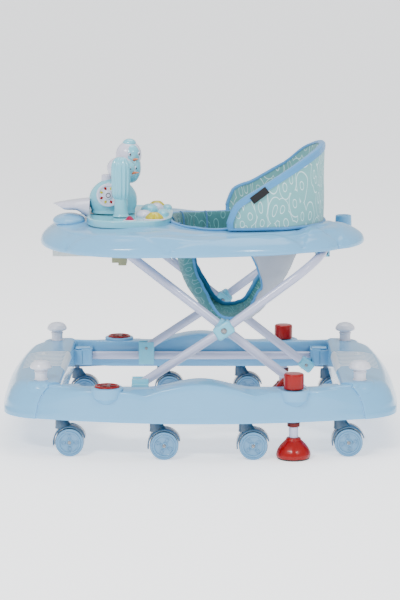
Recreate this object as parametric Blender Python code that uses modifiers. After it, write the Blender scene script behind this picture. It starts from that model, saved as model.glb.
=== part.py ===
"""Baby walker: a castor base ring, a folding scissor frame, a toy tray and a fabric seat.

Metres, +Z up. The origin is on the floor under the centre of the base. The seat faces -X,
so -X is the front with the toys and +X is the rear with the backrest. The walker is
symmetric about the XZ plane, apart from the toys on its tray.
"""

import math

import bmesh
import bpy
from mathutils import Matrix, Vector

GAP = 0.0003  # clearance between faces that touch on the real walker
WALL = 0.003  # thickness of the moulded shells
SIDES = {"near": -1, "far": 1}
ENDS = {"front": -1, "rear": 1}

# Base ring: an upside-down channel that runs round the walker
BASE_HALF_LENGTH = 0.359
BASE_HALF_WIDTH = 0.289
SIDE_BOW = 0.57  # a side curves in as half width - bow * x squared
END_BOW = 0.31
SEAM_X = 0.29
END_FLAT_Y = 0.17
INNER_HALF_LENGTH = 0.252
INNER_HALF_WIDTH = 0.2265
INNER_CORNER = 0.012
BASE_BOTTOM = 0.0675
BASE_TOP = 0.124
END_TOP = 0.1285
HUMP = 0.0155
HUMP_HALF = 0.11
NOTCH_X = 0.098

# Castors: twin wheels under a hood, on a swivel stem
WHEEL_R = 0.0254
HOOD_R = 0.0297
CASTOR_HALF = 0.0175
TRAIL = 0.015
STEM_TOP = 0.080
CASTOR_PLACES = [(-0.247, 0.2337), (-0.0785, 0.2602), (0.0785, 0.2602), (0.248, 0.2337)]

# Fittings on the base
STOP_PLACE = (0.1647, 0.2584)
CAP_PLACE = (-0.164, 0.2586)
KNOB_PLACE = (0.2844, 0.2042)
BOSS_R = 0.0285
RAIL_Y, RAIL_Z, RAIL_END = 0.2155, 0.098, 0.2147
RAIL_CLEAR = 0.0012  # play of a slider on its rail, taken up as the frame folds
BLOCK_Y = (0.1760, 0.2255)
BLOCK_X = (0.215, 0.2355)

# Scissor frame: U tube A is pinned at the rear, U tube B slides along the rails at the front
TUBE_R = 0.008
A_Y, B_Y = 0.164, 0.186
A_PIN = Vector((0.206, 0, 0.0894))
A_ANGLE = math.radians(38.0)
A_LOWER, A_UPPER = 0.208, 0.2507
B_LOWER = 0.179
B_LOWER_ANGLE = math.radians(33.3)
B_TOP = Vector((0.222, 0, 0.352))
A_BEND, B_BEND = 0.050, 0.070
CROSS = A_PIN + A_LOWER * Vector((-math.cos(A_ANGLE), 0, math.sin(A_ANGLE)))
A_TOP = CROSS + A_UPPER * Vector((-math.cos(A_ANGLE), 0, math.sin(A_ANGLE)))
B_PIN = CROSS - B_LOWER * Vector((math.cos(B_LOWER_ANGLE), 0, math.sin(B_LOWER_ANGLE)))

# Tray
TRAY_MID_X = -0.1
TRAY_FRONT, TRAY_REAR = 0.197, 0.404
TRAY_HALF_WIDTH = 0.251
TRAY_POWER = 2.15
TRAY_BOTTOM = 0.3555
HOLE_MID_X, HOLE_HALF_LENGTH, HOLE_HALF_WIDTH, HOLE_POWER = 0.075, 0.130, 0.142, 2.6
HOLE_BOTTOM = 0.372

# Toys
PLATE_MID_X, PLATE_HALF_LENGTH, PLATE_HALF_WIDTH = -0.1315, 0.079, 0.138
PLATE_Z = (0.4003, 0.4070)
POCKET_Z = 0.4020

# Seat
BACK_FRONT_X, BACK_REAR_X, BACK_HALF_WIDTH = 0.050, 0.228, 0.155
BACK_THICK = 0.009
SLING_THICK = 0.005
SLING_TOP = 0.3725


def clear_scene():
    for obj in list(bpy.data.objects):
        bpy.data.objects.remove(obj, do_unlink=True)


def new_collection(name):
    collection = bpy.data.collections.new(name)
    bpy.context.scene.collection.children.link(collection)
    return collection


def material(name, color, roughness, metallic=0.0):
    made = bpy.data.materials.new(name)
    made.use_nodes = True
    shader = made.node_tree.nodes["Principled BSDF"]
    shader.inputs["Base Color"].default_value = (*color, 1.0)
    shader.inputs["Roughness"].default_value = roughness
    shader.inputs["Metallic"].default_value = metallic
    made.diffuse_color = (*color, 1.0)
    return made


clear_scene()
PARTS = new_collection("baby_walker")
CUTTERS = new_collection("cutters")

BLUE = material("baby_blue_plastic", (0.40, 0.60, 0.75), 0.25)
AQUA = material("aqua_plastic", (0.38, 0.65, 0.76), 0.3)
WHITE = material("white_plastic", (0.72, 0.73, 0.78), 0.35)
CLEAR = material("frosted_plastic", (0.75, 0.78, 0.80), 0.3)
RED = material("red_plastic", (0.55, 0.02, 0.02), 0.3)
SLATE = material("slate_plastic", (0.16, 0.27, 0.36), 0.35)
WHEEL = material("wheel_plastic", (0.32, 0.50, 0.62), 0.35)
TUBE = material("painted_steel", (0.60, 0.60, 0.70), 0.3)
KHAKI = material("khaki_plastic", (0.26, 0.26, 0.15), 0.5)
YELLOW = material("yellow_plastic", (0.60, 0.52, 0.02), 0.35)
PINK = material("pink_plastic", (0.45, 0.01, 0.10), 0.35)
MINT = material("mint_fabric", (0.36, 0.60, 0.60), 0.9)


def finish(obj, mat):
    """Puts a node in the parts collection with its one material, shaded smooth up to sharp edges."""
    for collection in list(obj.users_collection):
        collection.objects.unlink(obj)
    PARTS.objects.link(obj)
    obj.hide_render = False
    obj.display_type = "TEXTURED"
    obj.data.materials.clear()
    obj.data.materials.append(mat)
    if obj.type == "MESH":
        obj.data.shade_smooth()
        obj.data.set_sharp_from_angle(angle=math.radians(35))
    return obj


def mesh_object(name, bm):
    """A new object in the cutters collection. It becomes a node when finish moves it out."""
    mesh = bpy.data.meshes.new(name)
    bm.to_mesh(mesh)
    bm.free()
    obj = bpy.data.objects.new(name, mesh)
    CUTTERS.objects.link(obj)
    obj.hide_render = True
    obj.display_type = "WIRE"
    return obj


def applied(obj):
    """The object with its modifiers made part of its mesh, or a curve turned into a welded mesh."""
    bpy.context.view_layer.update()
    graph = bpy.context.evaluated_depsgraph_get()
    mesh = bpy.data.meshes.new_from_object(obj.evaluated_get(graph))
    if obj.type == "CURVE":
        bm = bmesh.new()
        bm.from_mesh(mesh)
        bmesh.ops.remove_doubles(bm, verts=bm.verts, dist=1e-6)
        bmesh.ops.recalc_face_normals(bm, faces=bm.faces)
        made = mesh_object(obj.name, bm)
        made.matrix_world = obj.matrix_world.copy()
        bpy.data.meshes.remove(mesh)
        bpy.data.objects.remove(obj, do_unlink=True)
        return made
    obj.modifiers.clear()
    obj.data = mesh
    return obj


def boolean(obj, other, operation="DIFFERENCE"):
    """Cuts or joins with another mesh object, which is used up."""
    modifier = obj.modifiers.new(operation.lower(), "BOOLEAN")
    modifier.operation = operation
    modifier.object = other
    applied(obj)
    bpy.data.objects.remove(other, do_unlink=True)
    return obj


def set_origin(obj, origin):
    """Moves the object's origin to a point, such as a point on its joint's axis."""
    obj.data.transform(Matrix.Translation(-Vector(origin)))
    obj.location = origin
    return obj


def box(name, low, high, bevel=0.0):
    low, high = Vector(low), Vector(high)
    bm = bmesh.new()
    bmesh.ops.create_cube(bm, size=1.0)
    bmesh.ops.scale(bm, vec=high - low, verts=bm.verts)
    bmesh.ops.translate(bm, vec=(low + high) / 2, verts=bm.verts)
    obj = mesh_object(name, bm)
    if bevel:
        modifier = obj.modifiers.new("rounded", "BEVEL")
        modifier.width = bevel
        modifier.segments = 2
        applied(obj)
    return obj


def cylinder(name, radius, low, high, axis="Z", segments=24, top_radius=None):
    """A cylinder or cone between two points on a line along Z or Y."""
    low, high = Vector(low), Vector(high)
    bm = bmesh.new()
    bmesh.ops.create_cone(bm, cap_ends=True, segments=segments, radius1=radius,
                          radius2=radius if top_radius is None else top_radius,
                          depth=(high - low).length)
    if axis == "Y":
        bmesh.ops.rotate(bm, verts=bm.verts, matrix=Matrix.Rotation(-math.pi / 2, 3, "X"))
    bmesh.ops.translate(bm, vec=(low + high) / 2, verts=bm.verts)
    return mesh_object(name, bm)


def ellipsoid(name, centre, half_sizes, segments=20, rings=12):
    bm = bmesh.new()
    bmesh.ops.create_uvsphere(bm, u_segments=segments, v_segments=rings, radius=1.0)
    bmesh.ops.scale(bm, vec=half_sizes, verts=bm.verts)
    bmesh.ops.translate(bm, vec=centre, verts=bm.verts)
    return mesh_object(name, bm)


def turned(name, profile, location, steps=24, turn_to_y=False):
    """A solid of revolution. The profile lists (radius, height) from the top of its axis to the bottom."""
    bm = bmesh.new()
    verts = [bm.verts.new((radius, 0, height)) for radius, height in profile]
    for first, second in zip(verts, verts[1:]):
        bm.edges.new((first, second))
    obj = mesh_object(name, bm)
    screw = obj.modifiers.new("turn", "SCREW")
    screw.steps = screw.render_steps = steps
    screw.use_merge_vertices = True
    screw.merge_threshold = 1e-5
    applied(obj)
    if turn_to_y:
        obj.data.transform(Matrix.Rotation(math.pi / 2, 4, "X"))
    obj.location = location
    return obj


def tube(name, points, radius=TUBE_R):
    curve = bpy.data.curves.new(name, "CURVE")
    curve.dimensions = "3D"
    curve.bevel_depth = radius
    curve.bevel_resolution = 3
    curve.use_fill_caps = True
    spline = curve.splines.new("POLY")
    spline.points.add(len(points) - 1)
    for point, place in zip(spline.points, points):
        point.co = (*place, 1.0)
    obj = bpy.data.objects.new(name, curve)
    PARTS.objects.link(obj)
    return obj


def outline_plate(name, points, low, high, bevel=0.0):
    """A flat plate with the given outline in plan, between two heights."""
    bm = bmesh.new()
    face = bm.faces.new([bm.verts.new((x, y, low)) for x, y in points])
    top = bmesh.ops.extrude_face_region(bm, geom=[face])["geom"]
    bmesh.ops.translate(bm, vec=(0, 0, high - low),
                        verts=[part for part in top if isinstance(part, bmesh.types.BMVert)])
    bmesh.ops.recalc_face_normals(bm, faces=bm.faces)
    obj = mesh_object(name, bm)
    if bevel:
        modifier = obj.modifiers.new("rounded", "BEVEL")
        modifier.width = bevel
        modifier.segments = 2
        modifier.angle_limit = math.radians(60)
        applied(obj)
    return obj


def sheet(name, rows, thickness, closed=False, offset=-1.0):
    """A lofted sheet through rows of points, made solid on one side by Solidify."""
    bm = bmesh.new()
    grid = [[bm.verts.new(point) for point in row] for row in rows]
    pairs = list(zip(grid, grid[1:]))
    if closed:
        pairs.append((grid[-1], grid[0]))
    for first, second in pairs:
        for k in range(len(first) - 1):
            bm.faces.new((first[k], second[k], second[k + 1], first[k + 1]))
    obj = mesh_object(name, bm)
    solid = obj.modifiers.new("thickness", "SOLIDIFY")
    solid.thickness = thickness
    solid.offset = offset
    return applied(obj)


def smooth(low, high, value):
    t = min(max((value - low) / (high - low), 0.0), 1.0)
    return t * t * (3 - 2 * t)


def super_curve(angle, half_x, half_y, power):
    """A point on a superellipse, at an angle from +X."""
    c, s = math.cos(angle), math.sin(angle)
    return (half_x * math.copysign(abs(c) ** (2 / power), c),
            half_y * math.copysign(abs(s) ** (2 / power), s))


# ---- base ring ----

def hump(x):
    return 0.5 * (1 + math.cos(math.pi * x / HUMP_HALF)) if abs(x) < HUMP_HALF else 0.0


def channel_section(outer, inner):
    """Points of the channel's skin, from the foot of its outer wall over its top to the foot of the inner one."""
    across = inner - outer
    width = across.length
    unit = across / width
    x = outer.x
    end = smooth(0.20, 0.315, abs(x))
    top = BASE_TOP + HUMP * hump(x)
    notch = max(0.0, 1 - abs(abs(x) - NOTCH_X) / 0.028)
    shoulder = top - 0.002 - 0.0055 * notch
    side_rows = [(0, BASE_BOTTOM), (0, 0.085), (0.0010, 0.102), (0.003, shoulder - 0.008),
                 (0.009, shoulder), (0.45 * width, top - 0.0003), (width - 0.006, top),
                 (width, top - 0.006), (width, 0.074)]
    end_rows = [(-0.002, BASE_BOTTOM), (0, 0.077), (0.005, 0.095), (0.014, 0.111),
                (0.025, 0.1215), (0.46 * width, END_TOP - 0.001), (width - 0.009, END_TOP),
                (width, END_TOP - 0.008), (width, 0.082)]
    points = []
    for (side_in, side_z), (end_in, end_z) in zip(side_rows, end_rows):
        inset = side_in + (end_in - side_in) * end
        height = side_z + (end_z - side_z) * end
        place = outer + unit * inset
        points.append((place.x, place.y, height))
    return points


def side_outlines(s):
    """Outer and inner outline points of a side, for s from -1 at its front seam to 1 at its rear seam."""
    outer = Vector((SEAM_X * s, BASE_HALF_WIDTH - SIDE_BOW * (SEAM_X * s) ** 2, 0))
    straight = INNER_HALF_LENGTH - INNER_CORNER
    if abs(s) < 0.95:
        return outer, Vector((straight * s / 0.95, INNER_HALF_WIDTH, 0))
    turn = math.radians(90 - 45 * (abs(s) - 0.95) / 0.05)
    x = straight + INNER_CORNER * math.cos(turn)
    y = INNER_HALF_WIDTH - INNER_CORNER + INNER_CORNER * math.sin(turn)
    return outer, Vector((math.copysign(x, s), y, 0))


def end_outlines(q):
    """Outer and inner outline points of the rear end, for q from -1 at its near seam to 1 at its far seam."""
    t = abs(q)
    if t < 0.7:
        y = END_FLAT_Y * t / 0.7
        outer = Vector((BASE_HALF_LENGTH - END_BOW * y * y, y, 0))
    else:
        u = (t - 0.7) / 0.3
        reach = 0.035
        start = Vector((BASE_HALF_LENGTH - END_BOW * END_FLAT_Y ** 2, END_FLAT_Y, 0))
        stop = Vector((SEAM_X, BASE_HALF_WIDTH - SIDE_BOW * SEAM_X ** 2, 0))
        from_start = start + reach * Vector((-2 * END_BOW * END_FLAT_Y, 1, 0))
        to_stop = stop + reach * Vector((1, -2 * SIDE_BOW * SEAM_X, 0))
        outer = ((1 - u) ** 3 * start + 3 * u * (1 - u) ** 2 * from_start
                 + 3 * u * u * (1 - u) * to_stop + u ** 3 * stop)
    corner_y = INNER_HALF_WIDTH - INNER_CORNER
    if t < 0.85:
        inner = Vector((INNER_HALF_LENGTH, corner_y * t / 0.85, 0))
    else:
        turn = math.radians(45 * (t - 0.85) / 0.15)
        inner = Vector((INNER_HALF_LENGTH - INNER_CORNER + INNER_CORNER * math.cos(turn),
                        corner_y + INNER_CORNER * math.sin(turn), 0))
    outer.y, inner.y = math.copysign(outer.y, q), math.copysign(inner.y, q)
    return outer, inner


def seam_cutter(end, side, keep):
    """A block that ends on the slanting seam of one corner. It covers the side piece if keep is "end"."""
    outer, inner = side_outlines(1.0)
    across = (inner - outer).normalized()
    towards = 1 if keep == "side" else -1
    normal = Vector((-across.y, across.x, 0)) * towards
    cutter = box("seam", (0, -0.06, 0.04), (0.05, 0.06, 0.17))
    cutter.data.transform(Matrix.Rotation(math.atan2(normal.y, normal.x), 4, "Z"))
    cutter.data.transform(Matrix.Translation((outer + inner) / 2 - normal * GAP / 2))
    cutter.data.transform(Matrix.Diagonal((end, side, 1, 1)))
    if end * side < 0:
        cutter.data.flip_normals()
    return cutter


def base_side(name, side):
    """One side of the base, with its castor sockets, stopper boss and cap boss."""
    overrun = 1.03
    stations = [overrun * (2 * k / 22 - 1) for k in range(23)]
    rows = []
    for s in stations:
        outer, inner = side_outlines(s)
        rows.append([(x, side * y, z) for x, y, z in channel_section(outer, inner)])
    shell = sheet(name, rows[::-1] if side > 0 else rows, WALL)
    for end in ENDS.values():
        boolean(shell, seam_cutter(end, side, "side"))
    for x, y in CASTOR_PLACES:
        under_top = BASE_TOP + HUMP * hump(x) - WALL / 2
        socket = cylinder("socket", 0.0065, (x, side * y, STEM_TOP + GAP), (x, side * y, under_top), segments=8)
        boolean(shell, socket, "UNION")
    x, y = CAP_PLACE
    boolean(shell, cylinder("cap_boss", 0.014, (x, side * y, 0.085), (x, side * y, 0.1285),
                            top_radius=BOSS_R, segments=18), "UNION")
    x, y = STOP_PLACE
    boolean(shell, cylinder("stop_boss", 0.014, (x, side * y, 0.082), (x, side * y, 0.1247),
                            top_radius=BOSS_R, segments=18), "UNION")
    boolean(shell, cylinder("stop_bore", 0.009, (x, side * y, 0.06), (x, side * y, 0.14), segments=16))
    return finish(shell, BLUE)


def base_end(name, end):
    """One end of the base, with the blocks that hold the slide rails and the lugs that hold tube A."""
    overrun = 1.03
    stations = [overrun * (2 * k / 14 - 1) for k in range(15)]
    rows = []
    for q in stations:
        outer, inner = end_outlines(q)
        rows.append([(end * x, y, z) for x, y, z in channel_section(outer, inner)])
    shell = sheet(name, rows if end > 0 else rows[::-1], WALL)
    for side in SIDES.values():
        boolean(shell, seam_cutter(end, side, "end"))
        near_y, far_y = BLOCK_Y
        parts = [((BLOCK_X[0], near_y, 0.0855), (BLOCK_X[1], far_y, 0.1260)),
                 ((BLOCK_X[1] - 0.004, near_y, 0.0860), (0.2535, 0.2120, 0.1150))]
        if end > 0:
            parts.append(((0.196, near_y, 0.0780), (0.220, near_y + 0.006, 0.1000)))
        for low, high in parts:
            xs = sorted((end * low[0], end * high[0]))
            ys = sorted((side * low[1], side * high[1]))
            boolean(shell, box("block", (xs[0], ys[0], low[2]), (xs[1], ys[1], high[2])), "UNION")
        x, y = KNOB_PLACE
        boolean(shell, cylinder("knob_hole", 0.0114, (end * x, side * y, 0.10), (end * x, side * y, 0.15),
                                segments=16))
    return finish(shell, BLUE)


def end_panel(name, end):
    """The frosted cover on the middle of an end, 1.2 mm thick, that lies over the channel."""
    rows = []
    for k in range(5):
        y = 0.085 * (k / 2 - 1)
        outer = Vector((BASE_HALF_LENGTH - END_BOW * y * y, y, 0))
        inner = Vector((INNER_HALF_LENGTH, y, 0))
        points = channel_section(outer, inner)[1:8]
        rows.append([(end * (x), y, z) for x, y, z in points])
    panel = sheet(name, rows if end > 0 else rows[::-1], 0.0015, offset=1.0)
    lifted = bmesh.new()
    lifted.from_mesh(panel.data)
    lifted.normal_update()
    lift = GAP
    bmesh.ops.translate(lifted, vec=(end * lift, 0, lift), verts=lifted.verts)
    lifted.to_mesh(panel.data)
    lifted.free()
    for vertex in panel.data.vertices:
        # The inner lip hangs clear of the channel's inner wall.
        if abs(vertex.co.x) < INNER_HALF_LENGTH + 0.001:
            vertex.co.x -= end * 2 * lift
    return finish(panel, CLEAR)


def build_base():
    for side_name, side in SIDES.items():
        base_side(f"base_side_{side_name}", side)
        rail = tube(f"rail_{side_name}", [(-RAIL_END, side * RAIL_Y, RAIL_Z), (RAIL_END, side * RAIL_Y, RAIL_Z)])
        finish(rail, TUBE)
    for end_name, end in ENDS.items():
        base_end(f"base_end_{end_name}", end)
        end_panel(f"end_panel_{end_name}", end)
        for side_name, side in SIDES.items():
            corner_knob(f"corner_knob_{end_name}_{side_name}", end * KNOB_PLACE[0], side * KNOB_PLACE[1])
    for side_name, side in SIDES.items():
        front_cap(f"front_cap_{side_name}", side)
        stopper(side_name, side)


def corner_knob(name, x, y):
    """A mushroom knob on a stem that pushes down into the base."""
    profile = [(0, 0.1665), (0.010, 0.1653), (0.0170, 0.1605), (0.0195, 0.1530), (0.0180, 0.1475),
               (0.0110, 0.1440), (0.0110, 0.1120), (0, 0.1120)]
    knob = turned(name, [(r, z - 0.1120) for r, z in profile], (x, y, 0.1120), steps=14)
    return finish(knob, WHITE)


def front_cap(name, side):
    x, y = CAP_PLACE
    cap = turned(name, [(0, 0.0028), (0.0205, 0.0028), (0.0225, 0.0010), (0.0225, 0), (0, 0)],
                 (x, side * y, 0.1285 + GAP), steps=20)
    return finish(cap, RED)


def stopper(side_name, side):
    """A push-down stopper: knob, shaft and bell foot, which slide up together."""
    x, y = STOP_PLACE
    place = (x, side * y, 0)
    knob = turned(f"stop_knob_{side_name}", [(0, 0.1530), (0.0155, 0.1530), (0.0175, 0.1505),
                                             (0.0177, 0.1250), (0, 0.1250)], place, steps=20)
    finish(knob, RED)
    shaft = turned(f"stop_shaft_{side_name}", [(0, 0.1247), (0.0084, 0.1247), (0.0084, 0.0383), (0, 0.0383)],
                   place, steps=16)
    finish(shaft, TUBE)
    foot = turned(f"stop_foot_{side_name}", [(0, 0.0380), (0.0130, 0.0380), (0.0180, 0.0290),
                                             (0.0265, 0.0195), (0.0310, 0.0085), (0.0305, 0.0030),
                                             (0.0280, 0), (0, 0)], place, steps=20)
    finish(foot, RED)


# ---- castors ----

def castor_body_mesh():
    """Hood, centre web and swivel stem of one castor, with its origin at the swivel axis on the floor."""
    centre = Vector((TRAIL, 0, WHEEL_R))
    half = Vector((0, CASTOR_HALF, 0))
    hood = cylinder("castor_body", HOOD_R, centre - half, centre + half, "Y", 16)
    for side in SIDES.values():
        boolean(hood, cylinder("well", WHEEL_R + 0.0014, centre + 0.14 * side * half, centre + 1.2 * side * half,
                               "Y", 16))
    boolean(hood, box("open_below", (-0.03, -0.02, -0.01), (0.06, 0.02, WHEEL_R - 0.006)))
    boolean(hood, box("open_rear", (TRAIL + 0.021, -0.02, -0.01), (0.06, 0.02, WHEEL_R + 0.010)))
    hub = cylinder("hub", 0.0055, centre - half * 0.14, centre + half * 0.14, "Y", 10)
    boolean(hood, hub, "UNION")
    boolean(hood, cylinder("neck", 0.0085, (0, 0, 0.0505), (0, 0, 0.0700), segments=12), "UNION")
    boolean(hood, cylinder("stem", 0.0050, (0, 0, 0.0690), (0, 0, STEM_TOP), segments=10), "UNION")
    boolean(hood, cylinder("axle_hole", 0.0028, centre - half, centre + half, "Y", 8))
    return hood


def castor_wheels_profile():
    """Twin discs on an axle: (radius, distance along the axle) from the top of the axle to its bottom."""
    rim = [(0, CASTOR_HALF), (WHEEL_R - 0.0015, CASTOR_HALF), (WHEEL_R, CASTOR_HALF - 0.0020),
           (WHEEL_R, 0.0036), (0.0025, 0.0036)]
    return rim + [(radius, -along) for radius, along in reversed(rim)]


def build_castors():
    body = castor_body_mesh()
    wheels = turned("wheels", castor_wheels_profile(), (0, 0, 0), steps=16, turn_to_y=True)
    for number, (x, y) in enumerate(CASTOR_PLACES, start=1):
        for side_name, side in SIDES.items():
            hood = bpy.data.objects.new(f"castor_{number}_{side_name}", body.data)
            hood.location = (x, side * y, 0)
            CUTTERS.objects.link(hood)
            finish(hood, SLATE)
            pair = bpy.data.objects.new(f"wheels_{number}_{side_name}", wheels.data)
            pair.location = (x + TRAIL, side * y, WHEEL_R)
            CUTTERS.objects.link(pair)
            finish(pair, WHEEL)
    bpy.data.objects.remove(body, do_unlink=True)
    bpy.data.objects.remove(wheels, do_unlink=True)


# ---- scissor frame ----

def u_tube_points(feet, corner, y, bend, steps=7):
    """A U tube's centreline: up one leg, round a bend into the crossbar, and down the other leg."""
    along = (feet[-1] - corner).normalized()
    half = [foot + Vector((0, y, 0)) for foot in feet]
    start = corner + along * bend
    for k in range(steps + 1):
        turn = math.pi / 2 * k / steps
        half.append(start - along * bend * math.sin(turn) + Vector((0, y - bend * (1 - math.cos(turn)), 0)))
    return half + [Vector((point.x, -point.y, point.z)) for point in reversed(half)]


def tube_a_points(extend=0.0):
    foot = A_PIN + (0.003 + extend) * Vector((math.cos(A_ANGLE), 0, -math.sin(A_ANGLE)))
    return u_tube_points([foot], A_TOP, A_Y, A_BEND)


def tube_b_points(extend=0.0):
    down = (B_PIN - CROSS).normalized()
    return u_tube_points([B_PIN + down * (0.008 + extend), CROSS], B_TOP, B_Y, B_BEND)


def tilted_block(name, centre, direction, length, height, y_low, y_high):
    """A rounded block round a leg, long along the leg."""
    angle = math.atan2(direction.z, direction.x)
    block = box(name, (-length / 2, y_low, -height / 2), (length / 2, y_high, height / 2))
    bevel = block.modifiers.new("rounded", "BEVEL")
    bevel.width = 0.004
    bevel.segments = 2
    bevel.limit_method = "WEIGHT"
    weights = block.data.attributes.new("bevel_weight_edge", "FLOAT", "EDGE")
    for edge in block.data.edges:
        first, second = (block.data.vertices[k].co for k in edge.vertices)
        weights.data[edge.index].value = 1.0 if abs(first.y - second.y) > 0.001 else 0.0
    applied(block)
    block.data.transform(Matrix.Rotation(-angle, 4, "Y"))
    block.data.transform(Matrix.Translation((centre.x, 0, centre.z)))
    return block


def sleeve(name, block, leg_points):
    """Cuts the leg's own path out of a block, so that the block wraps the leg."""
    return finish(boolean(block, applied(tube("leg_cut", leg_points, TUBE_R + GAP))), AQUA)


def slider_bracket(name, side):
    """A fork that runs on the rail and holds the foot of tube B on its pin."""
    x, z = B_PIN.x, B_PIN.z
    ys = sorted((side * 0.1745, side * 0.2253))
    block = box(name, (x - 0.015, ys[0], 0.0870), (x + 0.015, ys[1], z + 0.012), bevel=0.0015)
    slot = sorted((side * 0.1775, side * 0.1945))
    boolean(block, box("slot", (x - 0.02, slot[0], 0.0950), (x + 0.02, slot[1], 0.15)))
    cutter = applied(tube("rail_cut", [(-0.3, side * RAIL_Y, RAIL_Z), (0.3, side * RAIL_Y, RAIL_Z)],
                          TUBE_R + RAIL_CLEAR))
    return finish(boolean(block, cutter), AQUA)


def build_frame():
    frame_a = finish(tube("frame_tube_a", tube_a_points()), TUBE)
    set_origin(frame_a, A_PIN)
    frame_b = finish(tube("frame_tube_b", tube_b_points()), TUBE)
    set_origin(frame_b, CROSS)
    a_along = (CROSS - A_PIN).normalized()
    b_along = (CROSS - B_PIN).normalized()
    for side_name, side in SIDES.items():
        a_low, a_high = sorted((side * (A_Y - 0.0105), side * (A_Y + 0.0105)))
        b_low, b_high = sorted((side * (B_Y - 0.0100), side * (B_Y + 0.0115)))
        inner = tilted_block(f"cross_bracket_a_{side_name}", CROSS, a_along, 0.030, 0.024, a_low, a_high)
        set_origin(sleeve(inner.name, inner, tube_a_points()), CROSS)
        outer = tilted_block(f"cross_bracket_b_{side_name}", CROSS, b_along, 0.036, 0.030, b_low, b_high)
        set_origin(sleeve(outer.name, outer, tube_b_points()), CROSS)
        foot = tilted_block(f"foot_bracket_{side_name}", A_PIN, a_along, 0.030, 0.022, a_low, a_high)
        set_origin(sleeve(foot.name, foot, tube_a_points(extend=GAP)), A_PIN)
        set_origin(slider_bracket(f"slider_{side_name}", side), B_PIN)


# ---- tray ----

def lobe(angle):
    """How far the tray's edge is pulled in at the valleys between its lobes, from 0 to 1."""
    valleys = [math.radians(a) for a in (152, 122, 82, 32, 12)]
    folded = abs(math.atan2(math.sin(angle), math.cos(angle)))
    depth = 0.0
    for valley in valleys:
        depth = max(depth, 1 - abs(folded - valley) / math.radians(9))
    return max(0.0, depth)


def tray_outline(angle):
    reach = TRAY_REAR if abs(math.atan2(math.sin(angle), math.cos(angle))) < math.pi / 2 else TRAY_FRONT
    x, y = super_curve(angle, reach, TRAY_HALF_WIDTH, TRAY_POWER)
    pull = 1 - 0.018 * lobe(angle)
    return Vector((TRAY_MID_X + x * pull, y * pull, 0))


def hole_outline(angle):
    x, y = super_curve(angle, HOLE_HALF_LENGTH, HOLE_HALF_WIDTH, HOLE_POWER)
    return Vector((HOLE_MID_X + x, y, 0))


def tray_rim_height(x, y):
    """Height of the tray's top: level at the front, lower beside the seat, and falling away at the far rear."""
    far_rear = smooth(0.190, 0.235, x) * smooth(-0.04, 0.08, y)
    return 0.3975 - 0.0075 * smooth(-0.08, 0.0, x) + 0.0060 * smooth(0.172, 0.200, x) - 0.0140 * far_rear


def tray_section(angle):
    edge, hole = tray_outline(angle), hole_outline(angle)
    across = hole - edge
    width = across.length
    unit = across / width
    rows = [(0.0, 0.0), (0.001, 0.20), (0.012, 0.56), (min(0.04, 0.40 * width), 0.90),
            (0.65 * width, 1.0), (width - 0.008, 1.0), (width, 0.85)]
    points = []
    for inset, rise in rows:
        place = edge + unit * inset
        height = TRAY_BOTTOM + (tray_rim_height(place.x, place.y) - TRAY_BOTTOM) * rise
        points.append((place.x, place.y, height))
    points.append((hole.x, hole.y, HOLE_BOTTOM))
    return points


def tray_shell():
    stations = 36
    rows = [tray_section(2 * math.pi * k / stations) for k in range(stations)]
    shell = sheet("tray_shell", rows, WALL, closed=True)
    return finish(shell, BLUE)


def guide_box():
    """The runner under the tray in which tube A's crossbar slides as the walker folds."""
    guide = box("crossbar_guide", (-0.2700, -0.09, 0.3370), (-0.1300, 0.09, 0.3740))
    boolean(guide, box("slot", (-0.2640, -0.2, 0.3600), (-0.1430, 0.2, 0.40)))
    return finish(guide, WHITE)


def height_latch():
    """The push latch under the runner that holds the tray at its height."""
    latch = box("height_latch", (-0.1650, -0.024, 0.3110), (-0.1380, 0.024, 0.3367), bevel=0.0015)
    boolean(latch, box("step", (-0.20, -0.05, 0.29), (-0.1530, 0.05, 0.3160)))
    return finish(latch, KHAKI)


def hinge_cradle():
    """The channel under the rear of the tray that holds tube B's crossbar."""
    x, z = B_TOP.x, B_TOP.z
    cradle = box("hinge_cradle", (x - 0.0125, -0.112, z - 0.0165), (x + 0.0125, 0.112, z + 0.0180))
    boolean(cradle, box("slot", (x - TUBE_R - 0.0008, -0.2, z - TUBE_R - GAP), (x + TUBE_R + 0.0008, 0.2, 0.40)))
    return finish(cradle, AQUA)


# ---- toys ----

BUTTONS = {"pink_button": (-0.128, -0.118, 0.0085, 0.4145, PINK),
           "flower_near": (-0.084, -0.096, 0.0170, 0.4190, YELLOW),
           "flower_far": (-0.084, 0.096, 0.0170, 0.4190, YELLOW)}


def toy_plate():
    points = []
    for k in range(28):
        x, y = super_curve(2 * math.pi * k / 28, PLATE_HALF_LENGTH, PLATE_HALF_WIDTH, 3.0)
        points.append((PLATE_MID_X + x, y))
    plate = outline_plate("toy_plate", points, PLATE_Z[0], PLATE_Z[1], bevel=0.0025)
    for x, y, radius, _, _ in BUTTONS.values():
        boolean(plate, cylinder("pocket", radius + 0.0007, (x, y, POCKET_Z), (x, y, 0.43), segments=16))
    return finish(plate, AQUA)


def toy_buttons():
    for name, (x, y, radius, top, mat) in BUTTONS.items():
        low = POCKET_Z + 0.0035
        height = top - low
        profile = [(0, height), (0.45 * radius, 0.93 * height), (0.8 * radius, 0.68 * height),
                   (radius, 0.3 * height), (radius, 0), (0, 0)]
        finish(turned(name, profile, (x, y, low), steps=16), mat)


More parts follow.
